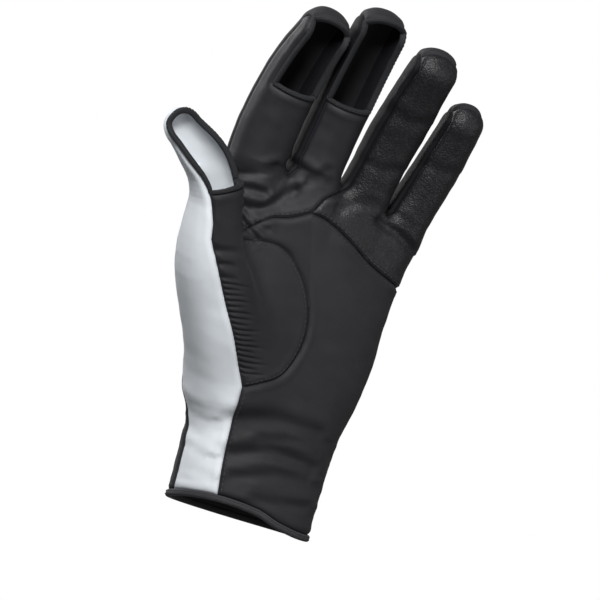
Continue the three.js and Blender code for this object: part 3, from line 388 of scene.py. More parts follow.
def fill(bottom, top, left, right, relax=0):
    """A patch inside four edges: each point is led by all four, less the corners, and settles.
    Each relaxing round moves points to the mean of their four neighbours and settles them."""
    u = np.linspace(0, 1, len(bottom))[None, :, None]
    v = np.linspace(0, 1, len(left))[:, None, None]
    patch = (bottom[None] * (1 - v) + top[None] * v + left[:, None] * (1 - u) + right[:, None] * u
             - bottom[0] * (1 - u) * (1 - v) - bottom[-1] * u * (1 - v)
             - top[0] * (1 - u) * v - top[-1] * u * v)
    patch[1:-1, 1:-1] = settle(patch[1:-1, 1:-1], 6)
    patch[0], patch[-1], patch[:, 0], patch[:, -1] = bottom, top, left, right
    for _ in range(relax):
        for _ in range(RELAX_STEPS):
            patch[1:-1, 1:-1] = (patch[:-2, 1:-1] + patch[2:, 1:-1]
                                 + patch[1:-1, :-2] + patch[1:-1, 2:]) / 4
        patch[1:-1, 1:-1] = settle(patch[1:-1, 1:-1], 2)
    return patch


FINGER_COLUMNS, WING_COLUMNS, TIP_ROWS = 5 * FINE, 2 * FINE, 4 * FINE
INDEX_COLUMNS = FINGER_COLUMNS + WING_COLUMNS
WEB_POINTS, THUMB_WEB, WEB_SEAM = 3 * FINE, 4 * FINE, 6 * FINE
THUMB_COLUMNS, GREY_COLUMNS = 8 * FINE, 10 * FINE
BALL_COLUMNS, GREY_LOW = THUMB_COLUMNS - THUMB_WEB // 2, GREY_COLUMNS - THUMB_WEB // 2
BALL_PIECES, OVAL_CORNER, PALM_TOP = 44 * FINE, 11 * FINE, 11 * FINE

# Webs between the digits, and the turns at which the seams run round the fingers
WEB_FRONT, WEB_BACK = 0.19 * PALM_DEPTH, 0.24 * PALM_DEPTH
WEB_HIGH = PALM_LENGTH + 0.35 * INDEX_BREADTH
WEBS = [saddle(INDEX, MIDDLE, WEB_FRONT, WEB_BACK, WEB_POINTS, WEB_HIGH),
        saddle(MIDDLE, RING, WEB_FRONT, WEB_BACK, WEB_POINTS, WEB_HIGH),
        saddle(RING, LITTLE, WEB_FRONT, WEB_BACK, WEB_POINTS, WEB_HIGH - WEB_FALL / 2)]
thumb_web = saddle(THUMB, INDEX, 0.22 * THUMB_BREADTH, 0.15 * THUMB_BREADTH, THUMB_WEB,
                   0.95 * PALM_LENGTH)
FRONT_TURN, BACK_TURN, SIDE_TURN, LITTLE_SIDE, TIP_TURN, LIP_OVER = 62, 130, 98, 92, 58, 74
ABOVE_WEB, SEAM_EASE = 0.05, 0.2


def stations(digit, low, opening, count):
    """Shares of a digit's length up to its tip, with one where the opening begins."""
    end = digit.along[-1]
    if opening is None:
        return np.linspace(low, end, count + 1)
    below = int(round(count * (opening - low) / (1 - low)))
    return np.concatenate([np.linspace(low, opening, below + 1),
                           np.linspace(opening, end, count - below + 1)[1:]])


class Finger:
    """A finger's patches: front, back and the seam lines between them and the gussets."""

    def __init__(self, digit, left, right, opening, count):
        self.digit, self.left, self.right, self.opening = digit, left, right, opening
        ends = [web[k] for web in (left, right) if web is not None for k in (0, -1)]
        low = max(digit.chart(end)[1] for end in ends) + ABOVE_WEB
        self.alongs = stations(digit, low, opening, count * FINE)
        self.lip = 90 if opening is None else LIP_OVER
        self.share = np.arange(1, TIP_ROWS + 1) / TIP_ROWS
        self.front_left, self.front_right = self.line(left, 0, -1), self.line(right, 0, 1)
        self.back_left, self.back_right = self.line(left, -1, -1), self.line(right, -1, 1)
        self.open_row = (len(self.alongs) + TIP_ROWS - 1 if opening is None
                         else int(np.abs(self.alongs - opening).argmin()))
        columns = INDEX_COLUMNS if digit is INDEX else FINGER_COLUMNS
        self.front_base = self.base(0, columns)
        self.back_base = self.base(-1, FINGER_COLUMNS)
        front = self.tongue(self.front_left, self.front_right, columns, 0)
        self.front = np.concatenate([self.front_base[None], front[:self.open_row + 1]])
        self.back = np.concatenate([self.back_base[None], self.tongue(
            self.back_left, self.back_right, FINGER_COLUMNS, 360)])

    def line(self, web, end, sign):
        """Turns of one seam up the finger, then side and over angles round its tip."""
        steady = (FRONT_TURN if end == 0 else BACK_TURN) if web is not None else (
            SIDE_TURN if sign < 0 else LITTLE_SIDE)
        turn = np.full(len(self.alongs), float(sign * steady))
        if web is not None:
            start, along = self.digit.chart(web[end])
            if sign * start < 0:
                start += sign * 360
            turn = mix(start, sign * steady, ease((self.alongs - along) / SEAM_EASE))
        last = turn[-1]
        closed_side = web is None and self.opening is None
        if end == 0:
            side = np.full(TIP_ROWS, sign * 90.0) if closed_side else mix(
                np.clip(last, -90, 90), sign * TIP_TURN, self.share)
            over = self.lip * self.share
        else:
            side = np.full(TIP_ROWS, sign * 90.0) if closed_side else mix(
                sign * (180 - abs(last)), sign * TIP_TURN, self.share)
            over = mix(180, self.lip, self.share)
        return turn, side, over

    def tongue(self, left, right, columns, shift):
        """Rows of points from the left seam to the right one, up the tube and over the tip."""
        share = np.linspace(0, 1, columns + 1)[None]
        (lt, ls, lo), (rt, rs, ro) = left, right
        tube = on_digit(self.digit, mix((lt + shift)[:, None], rt[:, None], share),
                        self.alongs[:, None] + 0 * share)
        tip = on_tip(self.digit, tip_direction(mix(ls[:, None], rs[:, None], share),
                                               mix(lo[:, None], ro[:, None], share)))
        return np.concatenate([tube, tip])

    def base(self, end, columns):
        """The row across the finger's foot between its web ends, on the palm side or the back."""
        low = 0.5 * (self.alongs[0] - ABOVE_WEB)
        a = self.digit.chart(self.left[end]) if self.left is not None else (-SIDE_TURN, low)
        b = self.digit.chart(self.right[end]) if self.right is not None else (LITTLE_SIDE, low)
        share = np.linspace(0, 1, columns + 1)
        row = on_digit(self.digit, mix(a[0] + (360 if end else 0), b[0], share),
                       mix(a[1], b[1], share))
        if self.left is not None:
            row[0] = self.left[end]
        if self.right is not None:
            row[-1] = self.right[end]
        return row

    def side(self, front, back, columns):
        """Rows of points round the finger's side, from its front seam to its back seam."""
        share = np.linspace(0, 1, columns + 1)[None]
        tube = on_digit(self.digit, mix(front[0][:, None], back[0][:, None], share),
                        self.alongs[:, None] + 0 * share)
        a = on_tip(self.digit, tip_direction(front[1], front[2]))[:, None]
        b = on_tip(self.digit, tip_direction(back[1], back[2]))[:, None]
        tip = mix(a, b, share[..., None])
        tip[:, 1:-1] = settle(tip[:, 1:-1])
        return np.concatenate([tube, tip])


index = Finger(INDEX, None, WEBS[0], INDEX_OPEN, 9)
middle = Finger(MIDDLE, WEBS[0], WEBS[1], MIDDLE_OPEN, 10)
ring = Finger(RING, WEBS[1], WEBS[2], None, 9)
little = Finger(LITTLE, WEBS[2], None, None, 7)
FINGERS = (index, middle, ring, little)

# The index finger's front runs up beside its opening, on the thumb side, to the end of the tip.
wing_turn = mix(-SIDE_TURN, FRONT_TURN, WING_COLUMNS / INDEX_COLUMNS)
wing_edge = (np.full(len(index.alongs), wing_turn), mix(wing_turn, -TIP_TURN, index.share),
             index.front_left[2])
index_wing = index.side(wing_edge, index.back_left, WING_COLUMNS)[index.open_row:, ::-1]

# Seams over the palm, as shares of its breadth and length
JOIN, WRIST_CORNER = on_front((-0.13, 0.965), (-0.275, 0.39))
LOWER = on_front((-0.02, 0.95), (0.12, 0.905), (0.26, 0.855))
UPPER = on_front((-0.33, 0.915), (-0.23, 0.935))
OVAL = on_front((-0.19, 0.415), (-0.08, 0.455), (-0.02, 0.53), (-0.005, 0.61), (-0.04, 0.7),
                (-0.12, 0.78), (-0.24, 0.84))
GREY_EDGE = on_front((-0.335, 0.45), (-0.43, 0.54), (-0.525, 0.62), (-0.6, 0.69))
CUFF_RISE = [(-270, -0.72), (-180, -0.4), (-95, 0.28), (-35, 1.0), (0, 0.6), (20, -0.25),
             (45, -0.75), (90, -0.72)]
GREY_FRONT, GREY_BACK, ULNAR = -34, -88, 93


def on_cuff(turn):
    """Points on the cuff's edge, whose height follows its own table of turns."""
    turn = np.asarray(turn, float)
    return on_palm(turn, CUFF_TAPE + CUFF_WAVE * smooth(CUFF_RISE, turn)[..., 0])


web_front, web_back = thumb_web[0], thumb_web[-1]
middle_ring = seam([WEBS[1][0], on_front((-0.07, 1.02))[0], JOIN], 3 * FINE)
low_seam = seam([JOIN, *LOWER, on_palm(ULNAR, 0.8 * PALM_LENGTH)], PALM_TOP)
high_seam = seam([web_front, *UPPER, JOIN], 5 * FINE)
thumb_seam = seam([WRIST_CORNER, *OVAL, web_front], BALL_PIECES)
wrist_seam = seam([on_cuff(GREY_FRONT), on_palm(GREY_FRONT - 3, 0.2 * PALM_LENGTH), WRIST_CORNER],
                  8 * FINE)
ulnar_low = seam([on_cuff(ULNAR), on_palm(ULNAR, 0.4 * PALM_LENGTH), low_seam[-1]], 22 * FINE)
ulnar_high = seam([low_seam[-1], little.front_base[-1]], WEB_SEAM)
radial = seam([web_back, on_palm(-99, 0.88 * PALM_LENGTH), index.front_base[0]], WEB_SEAM)
back_low = seam([on_cuff(GREY_BACK), on_palm(-90, 0.2 * PALM_LENGTH),
                 on_palm(-93, 0.4 * PALM_LENGTH), on_palm(-112, 0.58 * PALM_LENGTH), web_back],
                14 * FINE)

# The thumb's tube above its web, and the opening on its pad side
THUMB_ULNAR, THUMB_LIP, LIP_SIDE, GREY_TURN, OPEN_TURN, LIP_TURN = 104, 84, 34, -20, -36, -62
thumb_low = max(THUMB.chart(point)[1] for point in thumb_web) + ABOVE_WEB
thumb_alongs = stations(THUMB, thumb_low, THUMB_OPEN, 9 * FINE)
open_row = int(np.abs(thumb_alongs - THUMB_OPEN).argmin())
thumb_left = np.where(
    thumb_alongs < THUMB_OPEN,
    mix(GREY_TURN, OPEN_TURN, (thumb_alongs - thumb_low) / (THUMB_OPEN - thumb_low)),
    mix(OPEN_TURN, LIP_TURN, (thumb_alongs - THUMB_OPEN) / (1 - THUMB_OPEN)))
columns = np.linspace(0, 1, THUMB_COLUMNS + 1)[None]
front_band = on_digit(THUMB, mix(thumb_left[:open_row + 1, None], THUMB_ULNAR, columns),
                      thumb_alongs[:open_row + 1, None] + 0 * columns)
thumb_base = on_digit(THUMB, GREY_TURN, thumb_low - ABOVE_WEB)
grey_seam = seam([WRIST_CORNER, *GREY_EDGE, thumb_base], BALL_PIECES)


def thumb_foot(end, count):
    """A line round the thumb's foot from the grey seam to one end of the web."""
    (from_turn, low), (to_turn, high) = THUMB.chart(thumb_base), THUMB.chart(end)
    if end is web_back and to_turn > 0:
        to_turn -= 360
    share = np.linspace(0, 1, count + 1)
    row = on_digit(THUMB, mix(from_turn, to_turn, share), mix(low, high, share))
    row[0], row[-1] = thumb_base, end
    return row


half_web = THUMB_WEB // 2
ball_top = thumb_foot(web_front, BALL_COLUMNS)
front_web_row = joined(ball_top, thumb_web[:half_web + 1])
grey_top = thumb_foot(web_back, GREY_LOW)
grey_web_row = joined(grey_top, thumb_web[half_web:][::-1])
columns = np.linspace(0, 1, GREY_COLUMNS + 1)[None]
grey_band = on_digit(THUMB, mix(thumb_left[:, None], THUMB_ULNAR - 360, columns),
                     thumb_alongs[:, None] + 0 * columns)
ring_turns = np.radians(mix(LIP_TURN, THUMB_ULNAR - 360, columns))
ring_way = np.stack([np.sin(ring_turns), np.cos(ring_turns), 0 * ring_turns], -1)
hood_share = (np.arange(1, TIP_ROWS + 1) / TIP_ROWS)[:, None, None]
hood = on_tip(THUMB, mix(ring_way, tip_direction(mix(-LIP_SIDE, LIP_SIDE, columns), THUMB_LIP),
                         hood_share))
grey_band = np.concatenate([grey_band, hood])


# Folds and ripples of the cloth

# Grooves on the palm side: three places as shares of the palm's breadth and length, then depth
# and half width, with a soft ridge above the groove.
FOLDS = [
    ((-0.58, 1.02), (-0.46, 1.04), (-0.38, 1.07), 1.5, 2.0),
    ((-0.52, 0.93), (-0.37, 0.94), (-0.245, 1.02), 1.5, 2.2),
    ((-0.56, 0.975), (-0.48, 0.985), (-0.4, 0.985), 0.9, 1.8),
    ((-0.49, 0.9), (-0.43, 0.87), (-0.375, 0.845), 1.5, 1.3),
    ((-0.46, 0.92), (-0.41, 0.885), (-0.33, 0.88), 0.6, 1.5),
    ((-0.27, 1.095), (-0.2, 1.075), (-0.09, 1.062), 1.2, 2.0),
    ((-0.24, 1.0), (-0.2, 1.04), (-0.12, 1.1), 0.7, 1.8),
    ((0.02, 1.0), (0.1, 1.03), (0.2, 1.03), 0.8, 2.4),
    ((0.24, 0.995), (0.34, 0.975), (0.46, 0.935), 1.3, 2.2),
    ((0.24, 1.03), (0.33, 1.02), (0.45, 0.99), 0.6, 1.8),
    ((0.08, 1.16), (0.15, 1.15), (0.24, 1.16), 0.5, 2.2),
    ((0.1, 1.33), (0.18, 1.31), (0.27, 1.32), 0.6, 2.6),
    ((0.4, 1.2), (0.46, 1.19), (0.54, 1.2), 0.5, 2.4),
    ((-0.27, 0.286), (-0.03, 0.322), (0.2, 0.309), 1.1, 3.2),
    ((-0.23, 0.18), (-0.03, 0.219), (0.22, 0.2), 1.5, 3.2),
    ((-0.19, 0.114), (0.0, 0.148), (0.21, 0.159), 1.0, 2.6),
    ((-0.1, 0.25), (0.08, 0.268), (0.22, 0.25), 0.6, 2.0),
    ((-0.05, 0.06), (0.1, 0.07), (0.25, 0.08), 0.8, 2.6),
]
FOLD_REACH, RIDGE_PLACE, RIDGE_SHARE = 0.4, 1.9, 0.45

# Ribs gathered beside the grey panel: heights, ribs counted up to there, and how deep they are
SHIRR_HIGH = (58, 97, 108, 124)
SHIRR_COUNT = (0, 18, 20, 22)
SHIRR_DEPTH = (0.5, 0.65, 1.2, 1.2)
SHIRR_WIDTH = 15.0

# Ripples of the cloth: height, wave length, seed, and how the waves are drawn out each way
RIPPLES = ((0.25, 19, 3, (1, 1, 1)), (0.1, 8, 4, (1, 1, 1)))
WRIST_RIPPLES = ((0.24, 11, 5, (0.3, 0.5, 1.9)), (0.1, 6, 6, (0.3, 0.5, 1.8)))


def to_line(p, line):
    """Distance to a broken line in a plane, and the signed side of it, least over its pieces."""
    best = np.full(len(p), np.inf)
    side = np.zeros(len(p))
    for a, b in zip(line[:-1], line[1:]):
        d = b - a
        t = np.clip(((p - a) @ d) / (d @ d), 0, 1)
        off = p - a - t[:, None] * d
        far = np.linalg.norm(off, axis=1)
        near = far < best
        best = np.where(near, far, best)
        side = np.where(near, d[0] * off[:, 1] - d[1] * off[:, 0], side)
    return best, side


def folds(p, normal):
    """Lift from the folds: minus a bell across the line, plus a lower bell on its upper side."""
    lift = np.zeros(len(p))
    front = ease((0.25 - normal[:, 1]) / 0.5)
    flat = p[:, [0, 2]] / [PALM_BREADTH, PALM_LENGTH]
    for a, b, c, depth, wide in FOLDS:
        line = curve(np.array([(x, z, 0) for x, z in (a, b, c)]), 8)[:, :2]
        near = (np.abs(flat - line.mean(0)) < FOLD_REACH).all(1)
        q = flat[near] * [PALM_BREADTH, PALM_LENGTH]
        far, side = to_line(q, line * [PALM_BREADTH, PALM_LENGTH])
        groove = np.exp(-(far / wide) ** 2)
        ridge = np.where(side > 0, np.exp(-((far - RIDGE_PLACE * wide) / wide) ** 2), 0)
        lift[near] += depth * (RIDGE_SHARE * ridge - groove)
    return lift * front


def ripple(p, length, seed, stretch, count=7):
    """Soft unevenness between -1 and 1: a mean of sines along seeded directions."""
    rng = np.random.default_rng(seed)
    ways = unit(rng.normal(size=(count, 3))) * stretch
    waves = 2 * np.pi / (length * rng.uniform(0.7, 1.5, count))
    return np.sin((p @ ways.T) * waves + rng.uniform(0, 2 * np.pi, count)).mean(1) * 1.6


def shirring(p, normal):
    """Fine ribs beside the grey panel: a cosine of the height, which drifts along each rib, times
    eased limits beside the seam and at both ends; the highest ribs are the widest apart."""
    edge = grey_seam[np.argsort(grey_seam[:, 2])]
    beside = p[:, 0] - np.interp(p[:, 2], edge[:, 2], edge[:, 0])
    high = p[:, 2] - 0.1 * beside + 0.35 * ripple(p, 14, 11, (1, 1, 1))
    count = np.interp(high, SHIRR_HIGH, SHIRR_COUNT)
    wide = SHIRR_WIDTH * (1 + 0.3 * np.sin(2.3 * np.round(count)))
    limits = (ease((beside + 1) / 1.5) * ease(1.6 * (1 - beside / wide)) * ease(count / 1.5)
              * ease((SHIRR_COUNT[-1] - count) / 1.2) * ease((0.3 - normal[:, 1]) / 0.3))
    deep = np.interp(high, SHIRR_HIGH, SHIRR_DEPTH)
    return -deep * limits * (0.5 + 0.5 * np.cos(2 * np.pi * count)) ** 1.5


def drape(p, normal):
    """Folds, ribs, broad ripples all over and flatter creases round the wrist."""
    wrist = ease((0.42 * PALM_LENGTH - p[:, 2]) / 25)
    lift = folds(p, normal) + shirring(p, normal)
    for height, *way in RIPPLES:
        lift = lift + height * ripple(p, *way)
    return lift + wrist * sum(height * ripple(p, *way) for height, *way in WRIST_RIPPLES)


# Meshes

def new_piece(name, points, faces, material, uv, corners):
    """A smooth-shaded mesh object from arrays in millimetres: faces are triangles, and corners
    say which row of the map each corner of a face reads."""
    mesh = bpy.data.meshes.new(name)
    mesh.vertices.add(len(points))
    mesh.vertices.foreach_set("co", (points * 0.001).astype(np.float32).ravel())
    mesh.loops.add(faces.size)
    mesh.loops.foreach_set("vertex_index", faces.astype(np.int32).ravel())
    mesh.polygons.add(len(faces))
    mesh.polygons.foreach_set("loop_start", np.arange(0, faces.size, 3, dtype=np.int32))
    mesh.polygons.foreach_set("loop_total", np.full(len(faces), 3, np.int32))
    mesh.update(calc_edges=True)
    mesh.validate()
    mesh.shade_smooth()
    layer = mesh.uv_layers.new(name="loom")
    layer.data.foreach_set("uv", uv[corners.ravel()].astype(np.float32).ravel())
    mesh.materials.append(material)
    piece = bpy.data.objects.new(name, mesh)
    bpy.context.scene.collection.objects.link(piece)
    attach(piece, "root")
    return piece


def lengths(patch):
    """Lengths along both ways of a patch, in millimetres, counted from its middle column."""
    across = np.linalg.norm(np.diff(patch, axis=1), axis=2)
    up = np.linalg.norm(np.diff(patch, axis=0), axis=2)
    u = np.concatenate([np.zeros((len(patch), 1)), across.cumsum(1)], 1)
    v = np.concatenate([np.zeros((1, patch.shape[1])), up.cumsum(0)], 0)
    return np.stack([u - u[:, u.shape[1] // 2][:, None], v], 2).reshape(-1, 2)


BLOCK = 4000


def near_rim(p, rim):
    """Distance from each point to the nearest rim point, worked out in blocks."""
    far = np.empty(len(p))
    square = (rim * rim).sum(1)
    for start in range(0, len(p), BLOCK):
        block = p[start:start + BLOCK]
        d = (block * block).sum(1)[:, None] + square - 2 * block @ rim.T
        far[start:start + BLOCK] = np.sqrt(np.maximum(d.min(1), 0))
    return far


ROLL_HEIGHT, ROLL_PLACE, ROLL_WIDTH = 0.26, 2.6, 1.3
DROP_DEPTH, DROP_WIDTH = 0.8, 0.9


def rim_lift(far):
    """Lift near a panel's rim: a low roll a little way in, then a drop to the seam, both bells."""
    roll = ROLL_HEIGHT * np.exp(-((far - ROLL_PLACE) / ROLL_WIDTH) ** 2)
    return roll - DROP_DEPTH * np.exp(-(far / DROP_WIDTH) ** 2)


def sew(name, material, patches):
    """A panel of cloth: patches joined point to point, drawn down in a roll along the rim, given
    a wall below the form and closed round the edge."""
    raw = np.concatenate([patch.reshape(-1, 3) for patch in patches])
    uv = np.concatenate([lengths(patch) for patch in patches])
    _, first, number = np.unique(np.round(raw, 3), axis=0, return_index=True, return_inverse=True)
    number = number.ravel()
    points = raw[first]
    normal = unit(slope(points))
    faces, start = [], 0
    for patch in patches:
        rows, cols = patch.shape[:2]
        grid = start + np.arange(rows * cols).reshape(rows, cols)
        start += rows * cols
        a, b, c, d = [g.ravel() for g in (grid[:-1, :-1], grid[:-1, 1:],
                                          grid[1:, 1:], grid[1:, :-1])]
        short = (np.linalg.norm(raw[a] - raw[c], axis=1)
                 <= np.linalg.norm(raw[b] - raw[d], axis=1))
        one = np.where(short[:, None], np.stack([a, b, c], 1), np.stack([a, b, d], 1))
        two = np.where(short[:, None], np.stack([a, c, d], 1), np.stack([b, c, d], 1))
        tri = np.concatenate([one, two])
        m = number[tri]
        tri = tri[(m[:, 0] != m[:, 1]) & (m[:, 1] != m[:, 2]) & (m[:, 2] != m[:, 0])]
        m = number[tri]
        facing = np.cross(points[m[:, 1]] - points[m[:, 0]], points[m[:, 2]] - points[m[:, 0]])
        if (facing * normal[m[:, 0]]).sum() < 0:
            tri = tri[:, ::-1]
        faces.append(tri)
    corners = np.concatenate(faces)
    tri = number[corners]
    count = len(points)
    edge = np.concatenate([tri[:, [0, 1]], tri[:, [1, 2]], tri[:, [2, 0]]])
    raw_edge = np.concatenate([corners[:, [0, 1]], corners[:, [1, 2]], corners[:, [2, 0]]])
    lone = ~np.isin(edge[:, 0] * count + edge[:, 1], edge[:, 1] * count + edge[:, 0])
    rim, raw_rim = edge[lone], raw_edge[lone]
    ahead = np.full(count, -1)
    ahead[rim[:, 0]] = rim[:, 1]
    behind = np.full(count, -1)
    behind[rim[:, 1]] = rim[:, 0]
    at = rim[:, 0]
    one = unit(np.cross(normal[at], points[at] - points[behind[at]]))
    two = unit(np.cross(normal[at], points[ahead[at]] - points[at]))
    inward = unit(one + two)
    far = near_rim(points, points[at])
    hang = drape(points, normal)
    lift = hang + rim_lift(far)
    inner = points + normal * (hang - CLOTH_WALL)[:, None]
    outer = points + normal * lift[:, None]
    shift = inward * (SEAM_INSET / np.maximum((inward * one).sum(1), 0.35))[:, None]
    outer[at] += shift
    inner[at] += shift
    skirt = np.concatenate([rim[:, [1, 0, 0]] + [0, 0, count],
                            rim[:, [1, 0, 1]] + [0, count, count]])
    skirt_raw = np.concatenate([raw_rim[:, [1, 0, 0]], raw_rim[:, [1, 0, 1]]])
    piece = new_piece(name, np.concatenate([outer, inner]),
                      np.concatenate([tri, tri[:, ::-1] + count, skirt]), material, uv,
                      np.concatenate([corners, corners[:, ::-1], skirt_raw]))
    return piece


# Tapes: points round and between rings along, the dips that the stitches press in, the spline's
# points from which the length is told, how far they lie in over the edge, and what a corner is
TAPE_SIDES, TAPE_STEP, DIP_DEPTH, DIP_WIDTH = 24, 0.7, 0.16, 0.28
LENGTH_POINTS, TAPE_IN, CORNER, CORNER_CLEAR = 400, 0.1, 0.8, 0.2

# Threads: pitch and thickness on the tapes and on the panels, then the shape of one thread
TAPE_PITCH, TAPE_THREAD, TOP_PITCH, TOP_THREAD = 1.9, 0.17, 2.2, 0.2
THREAD_SIDES, THREAD_END, THREAD_HALF, THREAD_ARCH, THREAD_SQUAT = 6, 1.06, 0.36, 0.12, 0.8
THREAD_RINGS = ((-1.0, 0.35), (-0.75, 1.0), (0.75, 1.0), (1.0, 0.35))


def tape(name, line, width, opening, material, dips):
    """A tape round a closed line: a squared-off oval section with stitched dips, carried along a
    spline that lies beside the cloth's edge, on the side where the opening is."""
    came, goes = unit(line - np.roll(line, 1, 0)), unit(np.roll(line, -1, 0) - line)
    out = unit(slope(line))
    one, two = unit(np.cross(out, came)), unit(np.cross(out, goes))
    halfway = unit(one + two)
    sign = np.sign((halfway * (opening - line)).sum())
    path = line + halfway * (sign * (width / 2 - TAPE_IN) / (halfway * one).sum(1))[:, None]
    corners = np.flatnonzero((came * goes).sum(1) < CORNER)
    off = np.linalg.norm(line[:, None] - line[corners][None], axis=2)
    beside = (off > 0).all(1) & (off < CORNER_CLEAR + width).any(1)
    path = path[~beside]
    rough = curve(path, LENGTH_POINTS, closed=True)
    total = np.linalg.norm(np.diff(rough, axis=0), axis=1).sum()
    rounds = int(total / TAPE_STEP)
    middle = curve(path, rounds, closed=True)[:-1]
    way = unit(np.roll(middle, -1, 0) - np.roll(middle, 1, 0))
    out = unit(slope(middle))
    across = unit(np.cross(out, way))
    turn = (np.arange(TAPE_SIDES) + 0.5) * 2 * np.pi / TAPE_SIDES
    s, c = np.sin(turn), np.cos(turn)
    length = power_length(s, c, 0, TAPE_POWER)
    u, v = s / length, c / length
    dip = sum(DIP_DEPTH * np.exp(-((u - place) * width / 2 / DIP_WIDTH) ** 2) for place in dips)
    high = v * (CLOTH_WALL / 2 + TAPE_PROUD) - np.where(v > 0, dip, 0)
    shift = 0.06 * ripple(middle, 5, 9, (1, 1, 1))[:, None]
    ring = (middle[:, None] + across[:, None] * (u * width / 2)[None, :, None]
            + out[:, None] * (high[None] + shift - CLOTH_WALL / 2)[..., None])
    grid = np.arange(rounds * TAPE_SIDES).reshape(rounds, TAPE_SIDES)
    a, b = grid, np.roll(grid, -1, 1)
    c, d = np.roll(a, -1, 0), np.roll(b, -1, 0)
    faces = np.concatenate([np.stack([a, b, d], -1).reshape(-1, 3),
                            np.stack([a, d, c], -1).reshape(-1, 3)])
    points = ring.reshape(-1, 3)
    p = points[faces]
    if (p[:, 0] * np.cross(p[:, 1], p[:, 2])).sum() < 0:
        faces = faces[:, ::-1]
    along = np.repeat(np.arange(rounds)[:, None] * total / rounds, TAPE_SIDES, 1)
    about = np.arange(TAPE_SIDES) * (2 * width + 2 * CLOTH_WALL) / TAPE_SIDES
    round_it = np.repeat(about[None], rounds, 0)
    uv = np.stack([along, round_it], 2).reshape(-1, 2)
    piece = new_piece(name, points, faces, material, uv, faces)
    row = curve(path, int(total / TAPE_PITCH), closed=True)[:-1]
    way, out = unit(np.roll(row, -1, 0) - np.roll(row, 1, 0)), unit(slope(row))
    across = unit(np.cross(out, way))
    for k, place in enumerate(dips):
        stitches(f"{name}_thread_{k + 1}", "binding_tape", thread_finish,
                 row + across * place * width / 2 + out * (TAPE_PROUD - 0.04), way, out,
                 TAPE_PITCH, TAPE_THREAD)
    return piece


def stitches(name, slot, material, middle, way, out, pitch, thread):
    """Threads laid end to end along a line: each is a short squat tube with rounded ends, from
    rings of points at shares of its half length, all closed by a point at both ends."""
    across = np.cross(out, way)
    turn = np.arange(THREAD_SIDES) * 2 * np.pi / THREAD_SIDES
    rows = [(-THREAD_END, 0.0, 0.0)]
    rows += [(along, size * math.cos(t), size * math.sin(t))
             for along, size in THREAD_RINGS for t in turn]
    rows = np.array(rows + [(THREAD_END, 0.0, 0.0)])
    half = THREAD_HALF * pitch
    arch = THREAD_ARCH * (1 - rows[:, 0] ** 2)
    points = (middle[:, None] + way[:, None] * (rows[:, 0] * half)[None, :, None]
              + across[:, None] * (rows[:, 1] * thread)[None, :, None]
              + out[:, None] * (rows[:, 2] * thread * THREAD_SQUAT + arch)[None, :, None])
    grid = 1 + np.arange(len(THREAD_RINGS) * THREAD_SIDES).reshape(-1, THREAD_SIDES)
    a, b = grid[:-1], np.roll(grid[:-1], -1, 1)
    c, d = grid[1:], np.roll(grid[1:], -1, 1)
    last = len(rows) - 1
    one = np.concatenate([
        np.stack([a, b, d], -1).reshape(-1, 3), np.stack([a, d, c], -1).reshape(-1, 3),
        np.stack([0 * grid[0], np.roll(grid[0], -1), grid[0]], -1),
        np.stack([0 * grid[0] + last, grid[-1], np.roll(grid[-1], -1)], -1)])
    faces = (one[None] + (np.arange(len(middle)) * len(rows))[:, None, None]).reshape(-1, 3)
    p = points[0][one]
    if ((p[:, 0] - middle[0]) * np.cross(p[:, 1] - p[:, 0], p[:, 2] - p[:, 0])).sum() < 0:
        faces = faces[:, ::-1]
    uv = np.tile(rows[:, :2] * [half, thread], (len(middle), 1))
    piece = new_piece(name, points.reshape(-1, 3), faces, material, uv, faces)


def topstitch(name, slot, material, line, aside):
    """A row of stitches that runs beside a seam, on the cloth, a set distance to its left."""
    fine = curve(line, LENGTH_POINTS)
    total = np.linalg.norm(np.diff(fine, axis=0), axis=1).sum()
    middle = curve(line, max(int(total / TOP_PITCH), 2))[1:-1]
    way = unit(np.gradient(middle, axis=0))
    middle = settle(middle + np.cross(unit(slope(middle)), way) * aside)
    way = unit(np.gradient(middle, axis=0))
    out = unit(slope(middle))
    lift = drape(middle, out) + rim_lift(abs(aside))
    stitches(name, slot, material, middle + out * lift[:, None], way, out, TOP_PITCH, TOP_THREAD)


# Materials

def nodes_of(name):
    """A new material with its nodes and its shader."""
    material = bpy.data.materials.new(name)
    material.use_nodes = True
    tree = material.node_tree
    return material, tree, tree.nodes["Principled BSDF"]


TONE_SCALE, TONE_DETAIL, PORE_SHARE, THREAD_WANDER = 34.0, 6.0, 0.7, 0.6
CREASE_SHARE, PEBBLE_SHARE = 0.4, -0.8


